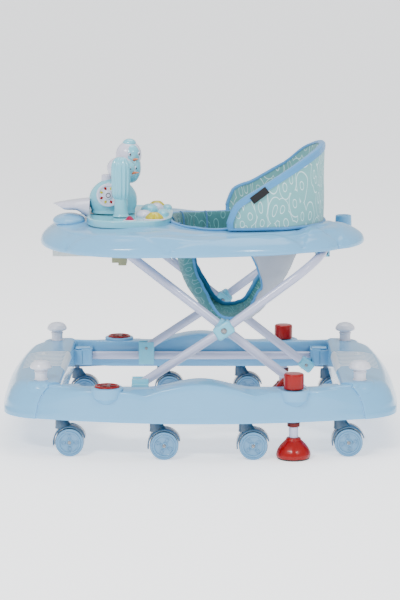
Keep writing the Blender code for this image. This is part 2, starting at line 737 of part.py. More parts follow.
def toy_tower():
    """The egg-shaped body, its ribbed column and the foot that joins them."""
    egg = ellipsoid("toy_tower", (-0.163, 0, 0.4310), (0.045, 0.034, 0.0400), 16, 10)
    boolean(egg, box("foot_cut", (-0.3, -0.1, 0.30), (0.1, 0.1, PLATE_Z[1] + GAP)))
    column = turned("column", [(0, 0.1092), (0.008, 0.107), (0.0135, 0.100), (0.0165, 0.085), (0.0160, 0.045),
                               (0.0120, 0.026), (0.0130, 0.010), (0.0155, 0), (0, 0)],
                    (-0.146, -0.062, PLATE_Z[1] + GAP), steps=12)
    boolean(egg, column, "UNION")
    foot = box("foot", (-0.156, -0.060, PLATE_Z[1] + GAP), (-0.136, -0.015, 0.4175))
    boolean(egg, foot, "UNION")
    return finish(egg, AQUA)


def toy_dial():
    dial = turned("toy_dial", [(0, 0.0075), (0.006, 0.0075), (0.007, 0.006), (0.020, 0.0055), (0.0220, 0.0040),
                               (0.0220, 0), (0, 0)], (-0.170, -0.0365, 0.4440), steps=20, turn_to_y=True)
    return finish(dial, WHITE)


def toy_birds():
    """A pair of hooded bird figures, one above the other."""
    birds = ellipsoid("toy_birds", (-0.146, -0.005, 0.4945), (0.0290, 0.0250, 0.0225), 14, 8)
    upper = ellipsoid("upper", (-0.133, 0.026, 0.5190), (0.0255, 0.0240, 0.0265), 14, 8)
    return finish(boolean(birds, upper, "UNION"), WHITE)


def toy_fin():
    """The flat paddle at the front of the toys."""
    fin = ellipsoid("toy_fin", (-0.2380, 0, 0.4220), (0.0390, 0.0360, 0.0150), 16, 8)
    boolean(fin, box("fin_cut", (-0.2095, -0.1, 0.35), (-0.1, 0.1, 0.47)))
    boolean(fin, box("fin_under", (-0.3, -0.1, 0.35), (-0.1, 0.1, PLATE_Z[1] + GAP)))
    return finish(fin, WHITE)


def build_tray():
    tray_shell()
    guide_box()
    height_latch()
    hinge_cradle()
    toy_plate()
    toy_buttons()
    toy_tower()
    toy_dial()
    toy_birds()
    toy_fin()


# ---- fabric seat ----

def back_plan(v):
    """Plan point of the wrap-round backrest, for v from -1 at its near front edge to 1 at its far one."""
    x, y = super_curve(v * math.pi / 2, BACK_REAR_X - BACK_FRONT_X, BACK_HALF_WIDTH, 2.4)
    return BACK_FRONT_X + x, y


def back_top(x):
    """Height of the backrest's top edge, which rises from the front corners to the rear."""
    t = min(max((x - BACK_FRONT_X) / (BACK_REAR_X - BACK_FRONT_X), 0.0), 1.0)
    return 0.4140 + 0.022 * min(1.0, t / 0.06) ** 0.5 + 0.107 * t


def seat_backrest():
    rows = []
    for k in range(21):
        v = k / 10 - 1
        x, y = back_plan(v)
        low = 0.4105 + 0.0030 * smooth(0.08, 0.18, x)
        rows.append([(x, y, low + (back_top(x) - low) * j / 4) for j in range(5)])
    back = sheet("seat_backrest", rows, BACK_THICK)
    return finish(back, MINT)


SLING_LINE = [Vector((x, 0, z)) for x, z in (
    (-0.046, 0.3720), (-0.041, 0.3280), (-0.030, 0.2860), (-0.006, 0.2450), (0.022, 0.2160), (0.050, 0.2075),
    (0.080, 0.2140), (0.110, 0.2310), (0.136, 0.2580), (0.155, 0.2880), (0.173, 0.3250), (0.188, 0.3720))]


def sling_centre(t):
    """Side view of the seat sling: from the front strap, down under the child, and up behind."""
    last = len(SLING_LINE) - 1
    k = min(int(t * last), last - 1)
    f = t * last - k
    before, here = SLING_LINE[max(k - 1, 0)], SLING_LINE[k]
    there, after = SLING_LINE[k + 1], SLING_LINE[min(k + 2, last)]
    return 0.5 * (2 * here + (there - before) * f + (2 * before - 5 * here + 4 * there - after) * f ** 2
                  + (3 * here - before - 3 * there + after) * f ** 3)


def seat_sling():
    """The sling under the tray: a narrow cupped strap in front and a wide bucket behind."""
    rows = []
    count = 16
    for k in range(count + 1):
        t = k / count
        here = sling_centre(t)
        ahead = sling_centre(min(t + 0.02, 1.0)) - sling_centre(max(t - 0.02, 0.0))
        inward = Vector((-ahead.z, 0, ahead.x)).normalized()
        half = 0.050 + 0.040 * smooth(0.12, 0.42, t) + 0.034 * smooth(0.62, 0.97, t)
        cup = 0.025 - 0.012 * smooth(0.20, 0.45, t) + 0.018 * smooth(0.55, 0.72, t) + 0.085 * smooth(0.72, 1.0, t)
        row = []
        for j in range(9):
            v = j / 4 - 1
            point = here + inward * cup * abs(v) ** 2.2
            row.append((point.x, half * math.sin(v * math.pi / 2), min(point.z, SLING_TOP)))
        rows.append(row)
    return finish(sheet("seat_sling", rows, SLING_THICK), MINT)


def build_seat():
    seat_backrest()
    seat_sling()


build_base()
build_castors()
build_frame()
build_tray()
build_seat()
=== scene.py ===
"""Looks of the baby walker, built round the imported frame.

Metres, +Z up. The front with the toys is at -X, the backrest at +X, and the near side at -Y.
Each piece repeats the shape of the CAD node that it stands for, at a finer resolution.
"""

import math

import bmesh
import bpy
from mathutils import Matrix, Vector, noise


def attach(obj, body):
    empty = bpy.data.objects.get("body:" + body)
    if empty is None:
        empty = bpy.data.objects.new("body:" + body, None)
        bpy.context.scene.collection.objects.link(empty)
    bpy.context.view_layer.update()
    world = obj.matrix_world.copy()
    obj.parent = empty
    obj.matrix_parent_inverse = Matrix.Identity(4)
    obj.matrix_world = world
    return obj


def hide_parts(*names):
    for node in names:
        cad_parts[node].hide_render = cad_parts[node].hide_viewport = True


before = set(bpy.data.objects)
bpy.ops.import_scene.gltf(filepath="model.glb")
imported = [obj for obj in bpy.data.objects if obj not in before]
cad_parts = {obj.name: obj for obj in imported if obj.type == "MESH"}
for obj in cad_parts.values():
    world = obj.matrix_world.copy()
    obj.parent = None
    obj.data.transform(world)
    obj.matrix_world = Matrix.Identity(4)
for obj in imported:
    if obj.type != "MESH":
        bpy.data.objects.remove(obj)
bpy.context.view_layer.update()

SIDES = {"near": -1, "far": 1}
ENDS = {"front": -1, "rear": 1}
SAME_PLACE = 1e-6
SEAM_SHARE = 0.9998

# Base ring
BASE_HALF_LENGTH, BASE_HALF_WIDTH = 0.359, 0.289
SIDE_BOW, END_BOW = 0.57, 0.31
SEAM_X, END_FLAT_Y = 0.29, 0.17
INNER_HALF_LENGTH, INNER_HALF_WIDTH, INNER_CORNER = 0.252, 0.2265, 0.012
BASE_BOTTOM, BASE_TOP, END_TOP = 0.0675, 0.124, 0.1285
HUMP, HUMP_HALF, NOTCH_X = 0.0155, 0.11, 0.098
SHELL = 0.003

# Fittings on the base
WHEEL_R, HOOD_R, CASTOR_HALF, TRAIL, STEM_TOP = 0.0254, 0.0297, 0.0175, 0.015, 0.08
CASTOR_PLACES = [(-0.247, 0.2337), (-0.0785, 0.2602), (0.0785, 0.2602), (0.248, 0.2337)]
STOP_PLACE, CAP_PLACE, KNOB_PLACE = (0.1647, 0.2584), (-0.164, 0.2586), (0.2844, 0.2042)
BOSS_R = 0.0285
RAIL_Y, RAIL_Z, RAIL_END = 0.2155, 0.098, 0.2147
BLOCK_Y, BLOCK_X = (0.176, 0.2255), (0.215, 0.2355)

# Scissor frame
TUBE_R = 0.008
A_Y, B_Y = 0.164, 0.186
A_PIN = Vector((0.206, 0, 0.0894))
A_ANGLE, B_LOWER_ANGLE = math.radians(38.0), math.radians(33.3)
A_LOWER, A_UPPER, B_LOWER = 0.208, 0.2507, 0.179
B_TOP = Vector((0.222, 0, 0.352))
A_BEND, B_BEND = 0.05, 0.07
A_WAY = Vector((-math.cos(A_ANGLE), 0, math.sin(A_ANGLE)))
CROSS = A_PIN + A_LOWER * A_WAY
A_TOP = CROSS + A_UPPER * A_WAY
B_PIN = CROSS - B_LOWER * Vector((math.cos(B_LOWER_ANGLE), 0, math.sin(B_LOWER_ANGLE)))

# Tray
TRAY_MID_X, TRAY_FRONT, TRAY_REAR = -0.1, 0.197, 0.404
TRAY_HALF_WIDTH, TRAY_POWER, TRAY_BOTTOM = 0.251, 2.15, 0.3555
HOLE_MID_X, HOLE_HALF_LENGTH, HOLE_HALF_WIDTH, HOLE_POWER = 0.075, 0.13, 0.142, 2.6
HOLE_BOTTOM = 0.372
PLATE_MID_X, PLATE_HALF_LENGTH, PLATE_HALF_WIDTH = -0.1315, 0.079, 0.138
PLATE_LOW, PLATE_TOP = 0.4003, 0.407

# Seat
BACK_FRONT_X, BACK_REAR_X, BACK_HALF_WIDTH = 0.05, 0.228, 0.155
BACK_LOW = 0.395


# ---- mesh tools ----

def smooth(low, high, value):
    t = min(max((value - low) / (high - low), 0.0), 1.0)
    return t * t * (3 - 2 * t)


def angles(count):
    """Evenly spaced angles round a full turn."""
    return [2 * math.pi * k / count for k in range(count)]


def spread(count):
    """Evenly spaced values from -1 to 1, both ends among them."""
    return [2 * k / count - 1 for k in range(count + 1)]


def rounded(points, radius, steps=4):
    """The same line with each inner corner turned into a short curve."""
    points = [Vector(p) for p in points]
    made = [points[0]]
    for before, corner, after in zip(points, points[1:], points[2:]):
        into, out = before - corner, after - corner
        start = corner + into.normalized() * min(radius, 0.49 * into.length)
        stop = corner + out.normalized() * min(radius, 0.49 * out.length)
        for k in range(steps + 1):
            t = k / steps
            made.append((1 - t) ** 2 * start + 2 * t * (1 - t) * corner + t * t * stop)
    made.append(points[-1])
    return made


def curve_through(points, steps=8, closed=False):
    """A smooth line through the points (Catmull-Rom)."""
    points = [Vector(p) for p in points]
    if closed:
        ring = [points[-1], *points, points[0], points[1]]
    else:
        ring = [2 * points[0] - points[1], *points, 2 * points[-1] - points[-2]]
    made = []
    for a, b, c, d in zip(ring, ring[1:], ring[2:], ring[3:]):
        for k in range(steps):
            t = k / steps
            made.append(0.5 * (2 * b + (c - a) * t + (2 * a - 5 * b + 4 * c - d) * t * t
                               + (3 * b - a - 3 * c + d) * t ** 3))
    if not closed:
        made.append(points[-1])
    return made


def grid(bm, rows, closed=False, mat=0, ring=False):
    """Quads through rows of points, with UVs in metres.

    closed joins the last row to the first, and ring joins the ends of each row.
    """
    uv_layer = bm.loops.layers.uv.verify()
    rows = [[Vector(p) for p in row] for row in rows]
    verts = [[bm.verts.new(p) for p in row] for row in rows]
    count, width = len(rows), len(rows[0])
    middle = width // 2
    along = [0.0]
    for k in range(count):
        along.append(along[-1] + (rows[(k + 1) % count][middle] - rows[k][middle]).length)
    across = []
    for row in rows:
        line = [0.0]
        for k in range(width):
            line.append(line[-1] + (row[(k + 1) % width] - row[k]).length)
        across.append(line)
    for i in range(count if closed else count - 1):
        i2 = (i + 1) % count
        for j in range(width if ring else width - 1):
            j2 = (j + 1) % width
            face = bm.faces.new((verts[i][j], verts[i2][j], verts[i2][j2], verts[i][j2]))
            places = [(along[i], across[i][j]), (along[i + 1], across[i2][j]),
                      (along[i + 1], across[i2][j + 1]), (along[i], across[i][j + 1])]
            for loop, place in zip(face.loops, places):
                loop[uv_layer].uv = place
            face.material_index = mat
    return verts


def capped(bm, rows, mat=0):
    """A closed form through rings of points, with a face over each end."""
    verts = grid(bm, rows, mat=mat, ring=True)
    for row in (verts[0][::-1], verts[-1]):
        bm.faces.new(row).material_index = mat


def turn(bm, profile, place, steps=40, axis="Z", mat=0, ribs=(0, 0.0), radius=0.0):
    """A turned shape from (radius, height) points, top to bottom. ribs is a count and depth of flutes."""
    profile = rounded([(r, z) for r, z in profile], radius, 3) if radius else [Vector(p) for p in profile]
    place = Vector(place)
    rows = []
    for angle in angles(steps):
        swell = 1 + ribs[1] * math.cos(ribs[0] * angle)
        row = []
        for r, z in profile:
            x, y = r * swell * math.cos(angle), r * swell * math.sin(angle)
            row.append(place + (Vector((x, y, z)) if axis == "Z" else Vector((x, -z, y))))
        rows.append(row)
    verts = grid(bm, rows, closed=True, mat=mat)
    bmesh.ops.remove_doubles(bm, verts=[v for row in verts for v in row], dist=SAME_PLACE)


def cuboid(bm, low, high, bevel=0.001, mat=0, matrix=None, segments=3):
    """A box with rounded edges, turned and moved by matrix if one is given."""
    low, high = Vector(low), Vector(high)
    other = bmesh.new()
    bmesh.ops.create_cube(other, size=1.0)
    bmesh.ops.scale(other, vec=high - low, verts=other.verts)
    bmesh.ops.translate(other, vec=(low + high) / 2, verts=other.verts)
    if bevel:
        bmesh.ops.bevel(other, geom=other.edges[:], offset=bevel, segments=segments, profile=0.5,
                        affect="EDGES")
    if matrix:
        bmesh.ops.transform(other, matrix=matrix, verts=other.verts)
    merge(bm, other, mat)


def mirrored_box(bm, low, high, bevel, turn_x=1, turn_y=1):
    """A box whose corners are first mirrored, each way given as -1."""
    xs, ys = sorted((turn_x * low[0], turn_x * high[0])), sorted((turn_y * low[1], turn_y * high[1]))
    cuboid(bm, (xs[0], ys[0], low[2]), (xs[1], ys[1], high[2]), bevel)


def merge(bm, other, mat=0):
    """Adds another bmesh, which is used up, with one material."""
    for face in other.faces:
        face.material_index = mat
    mesh = bpy.data.meshes.new("part")
    other.to_mesh(mesh)
    other.free()
    bm.from_mesh(mesh)
    bpy.data.meshes.remove(mesh)


def ball(bm, centre, half_sizes, mat=0, segments=32, rings=20, turned_by=None):
    other = bmesh.new()
    bmesh.ops.create_uvsphere(other, u_segments=segments, v_segments=rings, radius=1.0)
    bmesh.ops.scale(other, vec=half_sizes, verts=other.verts)
    if turned_by:
        bmesh.ops.transform(other, matrix=turned_by, verts=other.verts)
    bmesh.ops.translate(other, vec=centre, verts=other.verts)
    merge(bm, other, mat)


def sweep(bm, points, radius, mat=0, sides=12, closed=False, flat=1.0, up=(0, 0, 1)):
    """A tube along the points. flat squeezes it along the direction nearest to up."""
    points = [Vector(p) for p in points]
    count = len(points)
    rows = []
    for k, point in enumerate(points):
        if closed:
            way = points[(k + 1) % count] - points[k - 1]
        else:
            way = points[min(k + 1, count - 1)] - points[max(k - 1, 0)]
        way.normalize()
        side = way.cross(Vector(up)).normalized()
        top = side.cross(way).normalized()
        rows.append([point + radius * (math.cos(a) * side + flat * math.sin(a) * top)
                     for a in angles(sides)])
    if closed:
        grid(bm, rows, closed=True, mat=mat, ring=True)
    else:
        capped(bm, rows, mat)


def bolt(bm, place, radius, side, mat):
    """A rivet head with a dimple, facing the near side (-1) or the far side (1)."""
    profile = [(0, 0.1), (0.38, 0.12), (0.45, 0.42), (0.8, 0.3), (1.0, 0.0), (1.0, -0.3)]
    other = bmesh.new()
    turn(other, [(r * radius, z * radius) for r, z in profile], (0, 0, 0), 24, "Y", radius=0.0004)
    if side > 0:
        bmesh.ops.transform(other, matrix=Matrix.Rotation(math.pi, 4, "Z"), verts=other.verts)
    bmesh.ops.translate(other, vec=place, verts=other.verts)
    merge(bm, other, mat)


def piece(name, bm, materials, body, slot, *nodes, sharp=32):
    """The finished object of a bmesh: it rides on a body and stands for CAD nodes."""
    bmesh.ops.recalc_face_normals(bm, faces=bm.faces)
    mesh = bpy.data.meshes.new(name)
    bm.to_mesh(mesh)
    bm.free()
    mesh.shade_smooth()
    mesh.set_sharp_from_angle(angle=math.radians(sharp))
    obj = bpy.data.objects.new(name, mesh)
    bpy.context.scene.collection.objects.link(obj)
    for mat in materials if isinstance(materials, (list, tuple)) else [materials]:
        mesh.materials.append(mat)
    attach(obj, body)
    if nodes:
        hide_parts(*nodes)
    return obj


# ---- materials ----

def new_material(name, color, roughness, **sockets):
    made = bpy.data.materials.new(name)
    made.use_nodes = True
    shader = made.node_tree.nodes["Principled BSDF"]
    shader.inputs["Base Color"].default_value = (*color, 1)
    shader.inputs["Roughness"].default_value = roughness
    for key, value in sockets.items():
        shader.inputs[key.replace("_", " ")].default_value = value
    return made, made.node_tree, shader


def add_node(tree, kind, links=None, **values):
    """A node with its properties and sockets set. links is {input: output socket}."""
    made = tree.nodes.new(kind)
    for key, value in values.items():
        if hasattr(made, key):
            setattr(made, key, value)
        else:
            made.inputs[key.replace("_", " ")].default_value = value
    for key, output in (links or {}).items():
        tree.links.new(output, made.inputs[key])
    return made


def mixed(tree, factor, first, second):
    """A colour mix. A colour is a socket or three numbers."""
    made = tree.nodes.new("ShaderNodeMix")
    made.data_type = "RGBA"
    tree.links.new(factor, made.inputs["Factor"])
    a, b = [s for s in made.inputs if s.type == "RGBA"]
    for socket, value in ((a, first), (b, second)):
        if isinstance(value, tuple):
            socket.default_value = (*value, 1)
        else:
            tree.links.new(value, socket)
    return [s for s in made.outputs if s.type == "RGBA"][0]


def scaled(color, factor):
    return tuple(min(1.0, c * factor) for c in color)


def speckle(tree, place, scale, detail, distortion=0.0):
    """The noise texture's value, at a place."""
    made = add_node(tree, "ShaderNodeTexNoise", {"Vector": place}, Scale=scale, Detail=detail,
                    Distortion=distortion)
    return made.outputs["Fac"]


def give_relief(tree, shader, height, strength, depth):
    bump = add_node(tree, "ShaderNodeBump", {"Height": height}, Strength=strength, Distance=depth)
    tree.links.new(bump.outputs["Normal"], shader.inputs["Normal"])


def give_gloss(tree, shader, value, low, high):
    """Roughness between two limits, by a value from 0 to 1."""
    gloss = add_node(tree, "ShaderNodeMapRange", {"Value": value}, To_Min=low, To_Max=high)
    tree.links.new(gloss.outputs["Result"], shader.inputs["Roughness"])


def plastic(name, color, roughness, mottle=0.05, peel=0.04, **sockets):
    """Moulded plastic: faint flow marks, uneven gloss, orange peel and paler rubbed edges."""
    made, tree, shader = new_material(name, color, roughness, **sockets)
    place = tree.nodes.new("ShaderNodeTexCoord").outputs["Object"]
    flow = speckle(tree, place, 11.0, 3.0, distortion=0.6)
    ground = mixed(tree, flow, scaled(color, 1 - mottle), scaled(color, 1 + mottle))
    edge = tree.nodes.new("ShaderNodeNewGeometry").outputs["Pointiness"]
    rub = add_node(tree, "ShaderNodeMapRange", {"Value": edge}, From_Min=0.53, From_Max=0.62, To_Max=0.35)
    rubbed = mixed(tree, rub.outputs["Result"], ground, scaled(color, 1.25))
    tree.links.new(rubbed, shader.inputs["Base Color"])
    give_gloss(tree, shader, speckle(tree, place, 46.0, 5.0), roughness * 0.75, roughness * 1.3)
    give_relief(tree, shader, speckle(tree, place, 420.0, 2.0), peel, 0.001)
    return made


def steel(name):
    """Polished steel with fine scratches."""
    made, tree, shader = new_material(name, (0.3, 0.3, 0.31), 0.22, Metallic=1.0)
    place = tree.nodes.new("ShaderNodeTexCoord").outputs["Object"]
    stretched = add_node(tree, "ShaderNodeMapping", {"Vector": place}, Scale=(300, 300, 3000))
    give_gloss(tree, shader, speckle(tree, stretched.outputs["Vector"], 1.0, 4.0), 0.15, 0.4)
    return made


def weave_height(tree, place, pitch):
    """Height of a plain weave: two crossed sets of threads."""
    waves = []
    for direction in ("X", "Y"):
        waves.append(add_node(tree, "ShaderNodeTexWave", {"Vector": place}, bands_direction=direction,
                              Scale=2 * math.pi / (20 * pitch), Distortion=0.4, Detail=1.0, Detail_Scale=2.0))
    crossed = add_node(tree, "ShaderNodeMath", {0: waves[0].outputs["Fac"], 1: waves[1].outputs["Fac"]},
                       operation="MULTIPLY")
    return crossed.outputs["Value"]


def loops(tree, place):
    """White line print: rings drawn round scattered points, like nested drops. 1 on a line, 0 off it."""
    wander = add_node(tree, "ShaderNodeTexNoise", {"Vector": place}, Scale=16.0, Detail=1.0)
    shift = add_node(tree, "ShaderNodeVectorMath", {0: wander.outputs["Color"]}, operation="MULTIPLY_ADD")
    shift.inputs[1].default_value = (0.022, 0.04, 0)
    tree.links.new(place, shift.inputs[2])
    stretched = add_node(tree, "ShaderNodeMapping", {"Vector": shift.outputs["Vector"]},
                         Scale=(44.0, 23.0, 1.0))
    cells = add_node(tree, "ShaderNodeTexVoronoi", {"Vector": stretched.outputs["Vector"]}, Scale=1.0,
                     Randomness=0.75, voronoi_dimensions="2D")
    rings = add_node(tree, "ShaderNodeMath", {0: cells.outputs["Distance"]}, operation="MULTIPLY")
    rings.inputs[1].default_value = 2.7
    part = add_node(tree, "ShaderNodeMath", {0: rings.outputs["Value"]}, operation="PINGPONG")
    part.inputs[1].default_value = 0.5
    line = add_node(tree, "ShaderNodeMapRange", {"Value": part.outputs["Value"]},
                    From_Min=0.425, From_Max=0.47, To_Min=0.0, To_Max=0.8)
    return line.outputs["Result"]


def cloth(name, color, pitch=0.0011, print_color=None, roughness=0.85):
    """Woven cloth with thread relief, painted shade where the weave dips, painted patches of light and shade
    and, if asked for, the looping line print.
    """
    made, tree, shader = new_material(name, color, roughness, Sheen_Weight=0.35, Sheen_Roughness=0.4)
    place = tree.nodes.new("ShaderNodeTexCoord").outputs["UV"]
    solid = tree.nodes.new("ShaderNodeTexCoord").outputs["Object"]
    height = weave_height(tree, place, pitch)
    # Painted light and shade: large soft patches a little darker or lighter, standing in for folds.
    painted_light_and_shade = speckle(tree, solid, 22.0, 4.0)
    ground = mixed(tree, painted_light_and_shade, scaled(color, 0.8), scaled(color, 1.18))
    # Painted shade: the cloth is darker where the weave dips between threads.
    ground = mixed(tree, height, scaled(color, 0.78), ground)
    if print_color:
        ground = mixed(tree, loops(tree, place), ground, print_color)
    tree.links.new(ground, shader.inputs["Base Color"])
    give_relief(tree, shader, height, 0.35, 0.0006)
    return made


BLUE = plastic("baby_blue_plastic", (0.15, 0.395, 0.64), 0.16, Coat_Weight=0.2, Coat_Roughness=0.05,
               Specular_IOR_Level=0.25)
AQUA = plastic("aqua_plastic", (0.14, 0.5, 0.66), 0.22, Coat_Weight=0.25)
TOY_AQUA = plastic("toy_aqua_plastic", (0.17, 0.52, 0.64), 0.14, Coat_Weight=0.4)
WHITE = plastic("white_plastic", (0.62, 0.63, 0.71), 0.28, Coat_Weight=0.15)
TOY_WHITE = plastic("toy_white_plastic", (0.58, 0.58, 0.7), 0.16, Coat_Weight=0.4)
FROSTED = plastic("frosted_plastic", (0.62, 0.68, 0.74), 0.3, mottle=0.12, Coat_Weight=0.3)
RED = plastic("red_plastic", (0.25, 0.0012, 0.001), 0.24, Coat_Weight=0.08, Specular_IOR_Level=0.28)
# A darker red: the star print on the front caps, and painted shade on the stopper collars under the base.
DARK_RED = plastic("dark_red_plastic", (0.11, 0.001, 0.001), 0.3, Specular_IOR_Level=0.3)
SLATE = plastic("slate_plastic", (0.032, 0.09, 0.16), 0.26, Coat_Weight=0.2)
# Near-black: painted shade for the gap between the twin castor wheels.
WHEEL_GAP_SHADE = plastic("painted_wheel_gap_shade", (0.012, 0.018, 0.03), 0.5)
WHEEL = plastic("wheel_plastic", (0.105, 0.27, 0.45), 0.22, Coat_Weight=0.25)
TUBE = plastic("painted_tube", (0.44, 0.46, 0.62), 0.2, mottle=0.03, peel=0.06, Coat_Weight=0.5)
KHAKI = plastic("khaki_plastic", (0.24, 0.25, 0.14), 0.45)
CREAM = plastic("cream_plastic", (0.6, 0.64, 0.62), 0.4)
YELLOW = plastic("yellow_plastic", (0.5, 0.42, 0.002), 0.22, Coat_Weight=0.3)
PINK = plastic("pink_plastic", (0.28, 0.001, 0.05), 0.22, Coat_Weight=0.1, Specular_IOR_Level=0.3)
ORANGE = plastic("orange_plastic", (0.62, 0.17, 0.07), 0.3)
BLACK = plastic("black_rubber", (0.012, 0.012, 0.014), 0.55, peel=0.2)
STEEL = steel("bright_steel")
MINT = cloth("mint_print", (0.2, 0.5, 0.515), print_color=(0.72, 0.88, 0.9))
# Darker copies of the mint print as painted shade: a little darker on the backrest's inner face, darker on the
# sling and darkest on the ring tucked into the hole.
MINT_DEEP_SHADE = cloth("mint_print_deep_shade", (0.035, 0.165, 0.185), print_color=(0.12, 0.34, 0.36))
# The mint print painted darker as shade on the sling under the tray.
SLING = cloth("sling_cloth", (0.06, 0.235, 0.25), print_color=(0.18, 0.42, 0.44))
BINDING = cloth("blue_binding", (0.055, 0.29, 0.6), pitch=0.0016, roughness=0.6)
# The blue binding at half brightness: painted shade on the seams running down inside the hole.
BINDING_PAINTED_SHADE = cloth("blue_binding_painted_shade", (0.03, 0.15, 0.32), pitch=0.0016, roughness=0.6)
LINING = cloth("grey_lining", (0.46, 0.5, 0.57), pitch=0.0009)
# The mint print a little darker: painted shade on the backrest's inner face.
MINT_INNER_SHADE = cloth("mint_print_inner_shade", (0.15, 0.4, 0.41), print_color=(0.55, 0.75, 0.77))
TAG = cloth("black_tag", (0.006, 0.006, 0.008), pitch=0.0008)


# ---- base ring ----

def hump(x):
    return 0.5 * (1 + math.cos(math.pi * x / HUMP_HALF)) if abs(x) < HUMP_HALF else 0.0


def channel_section(outer, inner):
    """The channel's skin at one station, over its top from the foot of one wall to the foot of the other."""
    across = inner - outer
    width = across.length
    unit = across / width
    end = smooth(0.2, 0.315, abs(outer.x))
    top = BASE_TOP + HUMP * hump(outer.x)
    notch = max(0.0, 1 - abs(abs(outer.x) - NOTCH_X) / 0.028)
    shoulder = top - 0.002 - 0.0055 * notch
    crease = smooth(0.15, 0.125, abs(outer.x))
    side_rows = [(0, BASE_BOTTOM), (0, 0.08), (0.0006, 0.095), (0.0016, shoulder - 0.009),
                 (0.0026, shoulder - 0.0018), (0.0052, shoulder),
                 (0.0064 + 0.001 * crease, shoulder - 0.0007 * crease),
                 (0.0085, shoulder + 0.0002), (0.45 * width, top - 0.0003), (width - 0.005, top),
                 (width - 0.001, top - 0.003), (width, top - 0.008), (width, 0.074)]
    end_rows = [(-0.0018, BASE_BOTTOM), (-0.002, 0.0745), (0.0008, 0.0785), (0.003, 0.09),
                (0.009, 0.104), (0.014, 0.111), (0.02, 0.118), (0.026, 0.1225),
                (0.46 * width, END_TOP - 0.001), (width - 0.009, END_TOP), (width - 0.002, END_TOP - 0.003),
                (width, END_TOP - 0.01), (width, 0.082)]
    points = []
    for (side_in, side_z), (end_in, end_z) in zip(side_rows, end_rows):
        place = outer + unit * (side_in + (end_in - side_in) * end)
        points.append(Vector((place.x, place.y, side_z + (end_z - side_z) * end)))
    return rounded(points, 0.0035, 4)


def side_outlines(s):
    """Outer and inner outline points of a side, for s from -1 at its front seam to 1 at its rear seam."""
    outer = Vector((SEAM_X * s, BASE_HALF_WIDTH - SIDE_BOW * (SEAM_X * s) ** 2, 0))
    straight = INNER_HALF_LENGTH - INNER_CORNER
    if abs(s) < 0.95:
        return outer, Vector((straight * s / 0.95, INNER_HALF_WIDTH, 0))
    turned = math.radians(90 - 45 * (abs(s) - 0.95) / 0.05)
    x = straight + INNER_CORNER * math.cos(turned)
    y = INNER_HALF_WIDTH - INNER_CORNER + INNER_CORNER * math.sin(turned)
    return outer, Vector((math.copysign(x, s), y, 0))


def end_outlines(q):
    """Outer and inner outline points of an end, for q from -1 at its near seam to 1 at its far seam."""
    t = abs(q)
    if t < 0.7:
        y = END_FLAT_Y * t / 0.7
        outer = Vector((BASE_HALF_LENGTH - END_BOW * y * y, y, 0))
    else:
        u = (t - 0.7) / 0.3
        reach = 0.035
        start = Vector((BASE_HALF_LENGTH - END_BOW * END_FLAT_Y ** 2, END_FLAT_Y, 0))
        stop = Vector((SEAM_X, BASE_HALF_WIDTH - SIDE_BOW * SEAM_X ** 2, 0))
        from_start = start + reach * Vector((-2 * END_BOW * END_FLAT_Y, 1, 0))
        to_stop = stop + reach * Vector((1, -2 * SIDE_BOW * SEAM_X, 0))
        outer = ((1 - u) ** 3 * start + 3 * u * (1 - u) ** 2 * from_start
                 + 3 * u * u * (1 - u) * to_stop + u ** 3 * stop)
    corner_y = INNER_HALF_WIDTH - INNER_CORNER
    if t < 0.85:
        inner = Vector((INNER_HALF_LENGTH, corner_y * t / 0.85, 0))
    else:
        turned = math.radians(45 * (t - 0.85) / 0.15)
        inner = Vector((INNER_HALF_LENGTH - INNER_CORNER + INNER_CORNER * math.cos(turned),
                        corner_y + INNER_CORNER * math.sin(turned), 0))
    outer.y, inner.y = math.copysign(outer.y, q), math.copysign(inner.y, q)
    return outer, inner


def solid_sheet(bm, rows, thickness, closed=False, mats=(0, 0)):
    """A sheet through rows of points with a second skin inside it, joined along the edges.

    mats are the materials of the first and the second skin. The second skin lies against the normals
    of the first.
    """
    rows = [[Vector(p) for p in row] for row in rows]
    count, width = len(rows), len(rows[0])
    inside = []
    for i, row in enumerate(rows):
        ahead = rows[(i + 1) % count] if closed else rows[min(i + 1, count - 1)]
        behind = rows[i - 1] if closed else rows[max(i - 1, 0)]
        line = []
        for j, point in enumerate(row):
            along = ahead[j] - behind[j]
            across = row[min(j + 1, width - 1)] - row[max(j - 1, 0)]
            line.append(point - along.cross(across).normalized() * thickness)
        inside.append(line)
    first = grid(bm, rows, closed=closed, mat=mats[0])
    second = grid(bm, inside, closed=closed, mat=mats[1])
    for i in range(count if closed else count - 1):
        for j in (0, width - 1):
            i2 = (i + 1) % count
            bm.faces.new((first[i][j], first[i2][j], second[i2][j], second[i][j])).material_index = mats[0]
    if not closed:
        for i in (0, count - 1):
            for j in range(width - 1):
                rim = bm.faces.new((first[i][j], first[i][j + 1], second[i][j + 1], second[i][j]))
                rim.material_index = mats[0]


def boss(bm, x, y, top, low):
    """A cone-shaped boss with a rounded rim, whose side runs out into the channel's outer wall."""
    radius = BOSS_R
    profile = [(radius - 0.007, top - 0.0022), (radius - 0.0068, top - 0.0002), (radius - 0.0045, top),
               (radius - 0.0012, top - 0.0004), (radius, top - 0.0022), (radius - 0.003, top - 0.019),
               (0.01, low)]
    turn(bm, profile, (x, y, 0), 64, radius=0.0008)


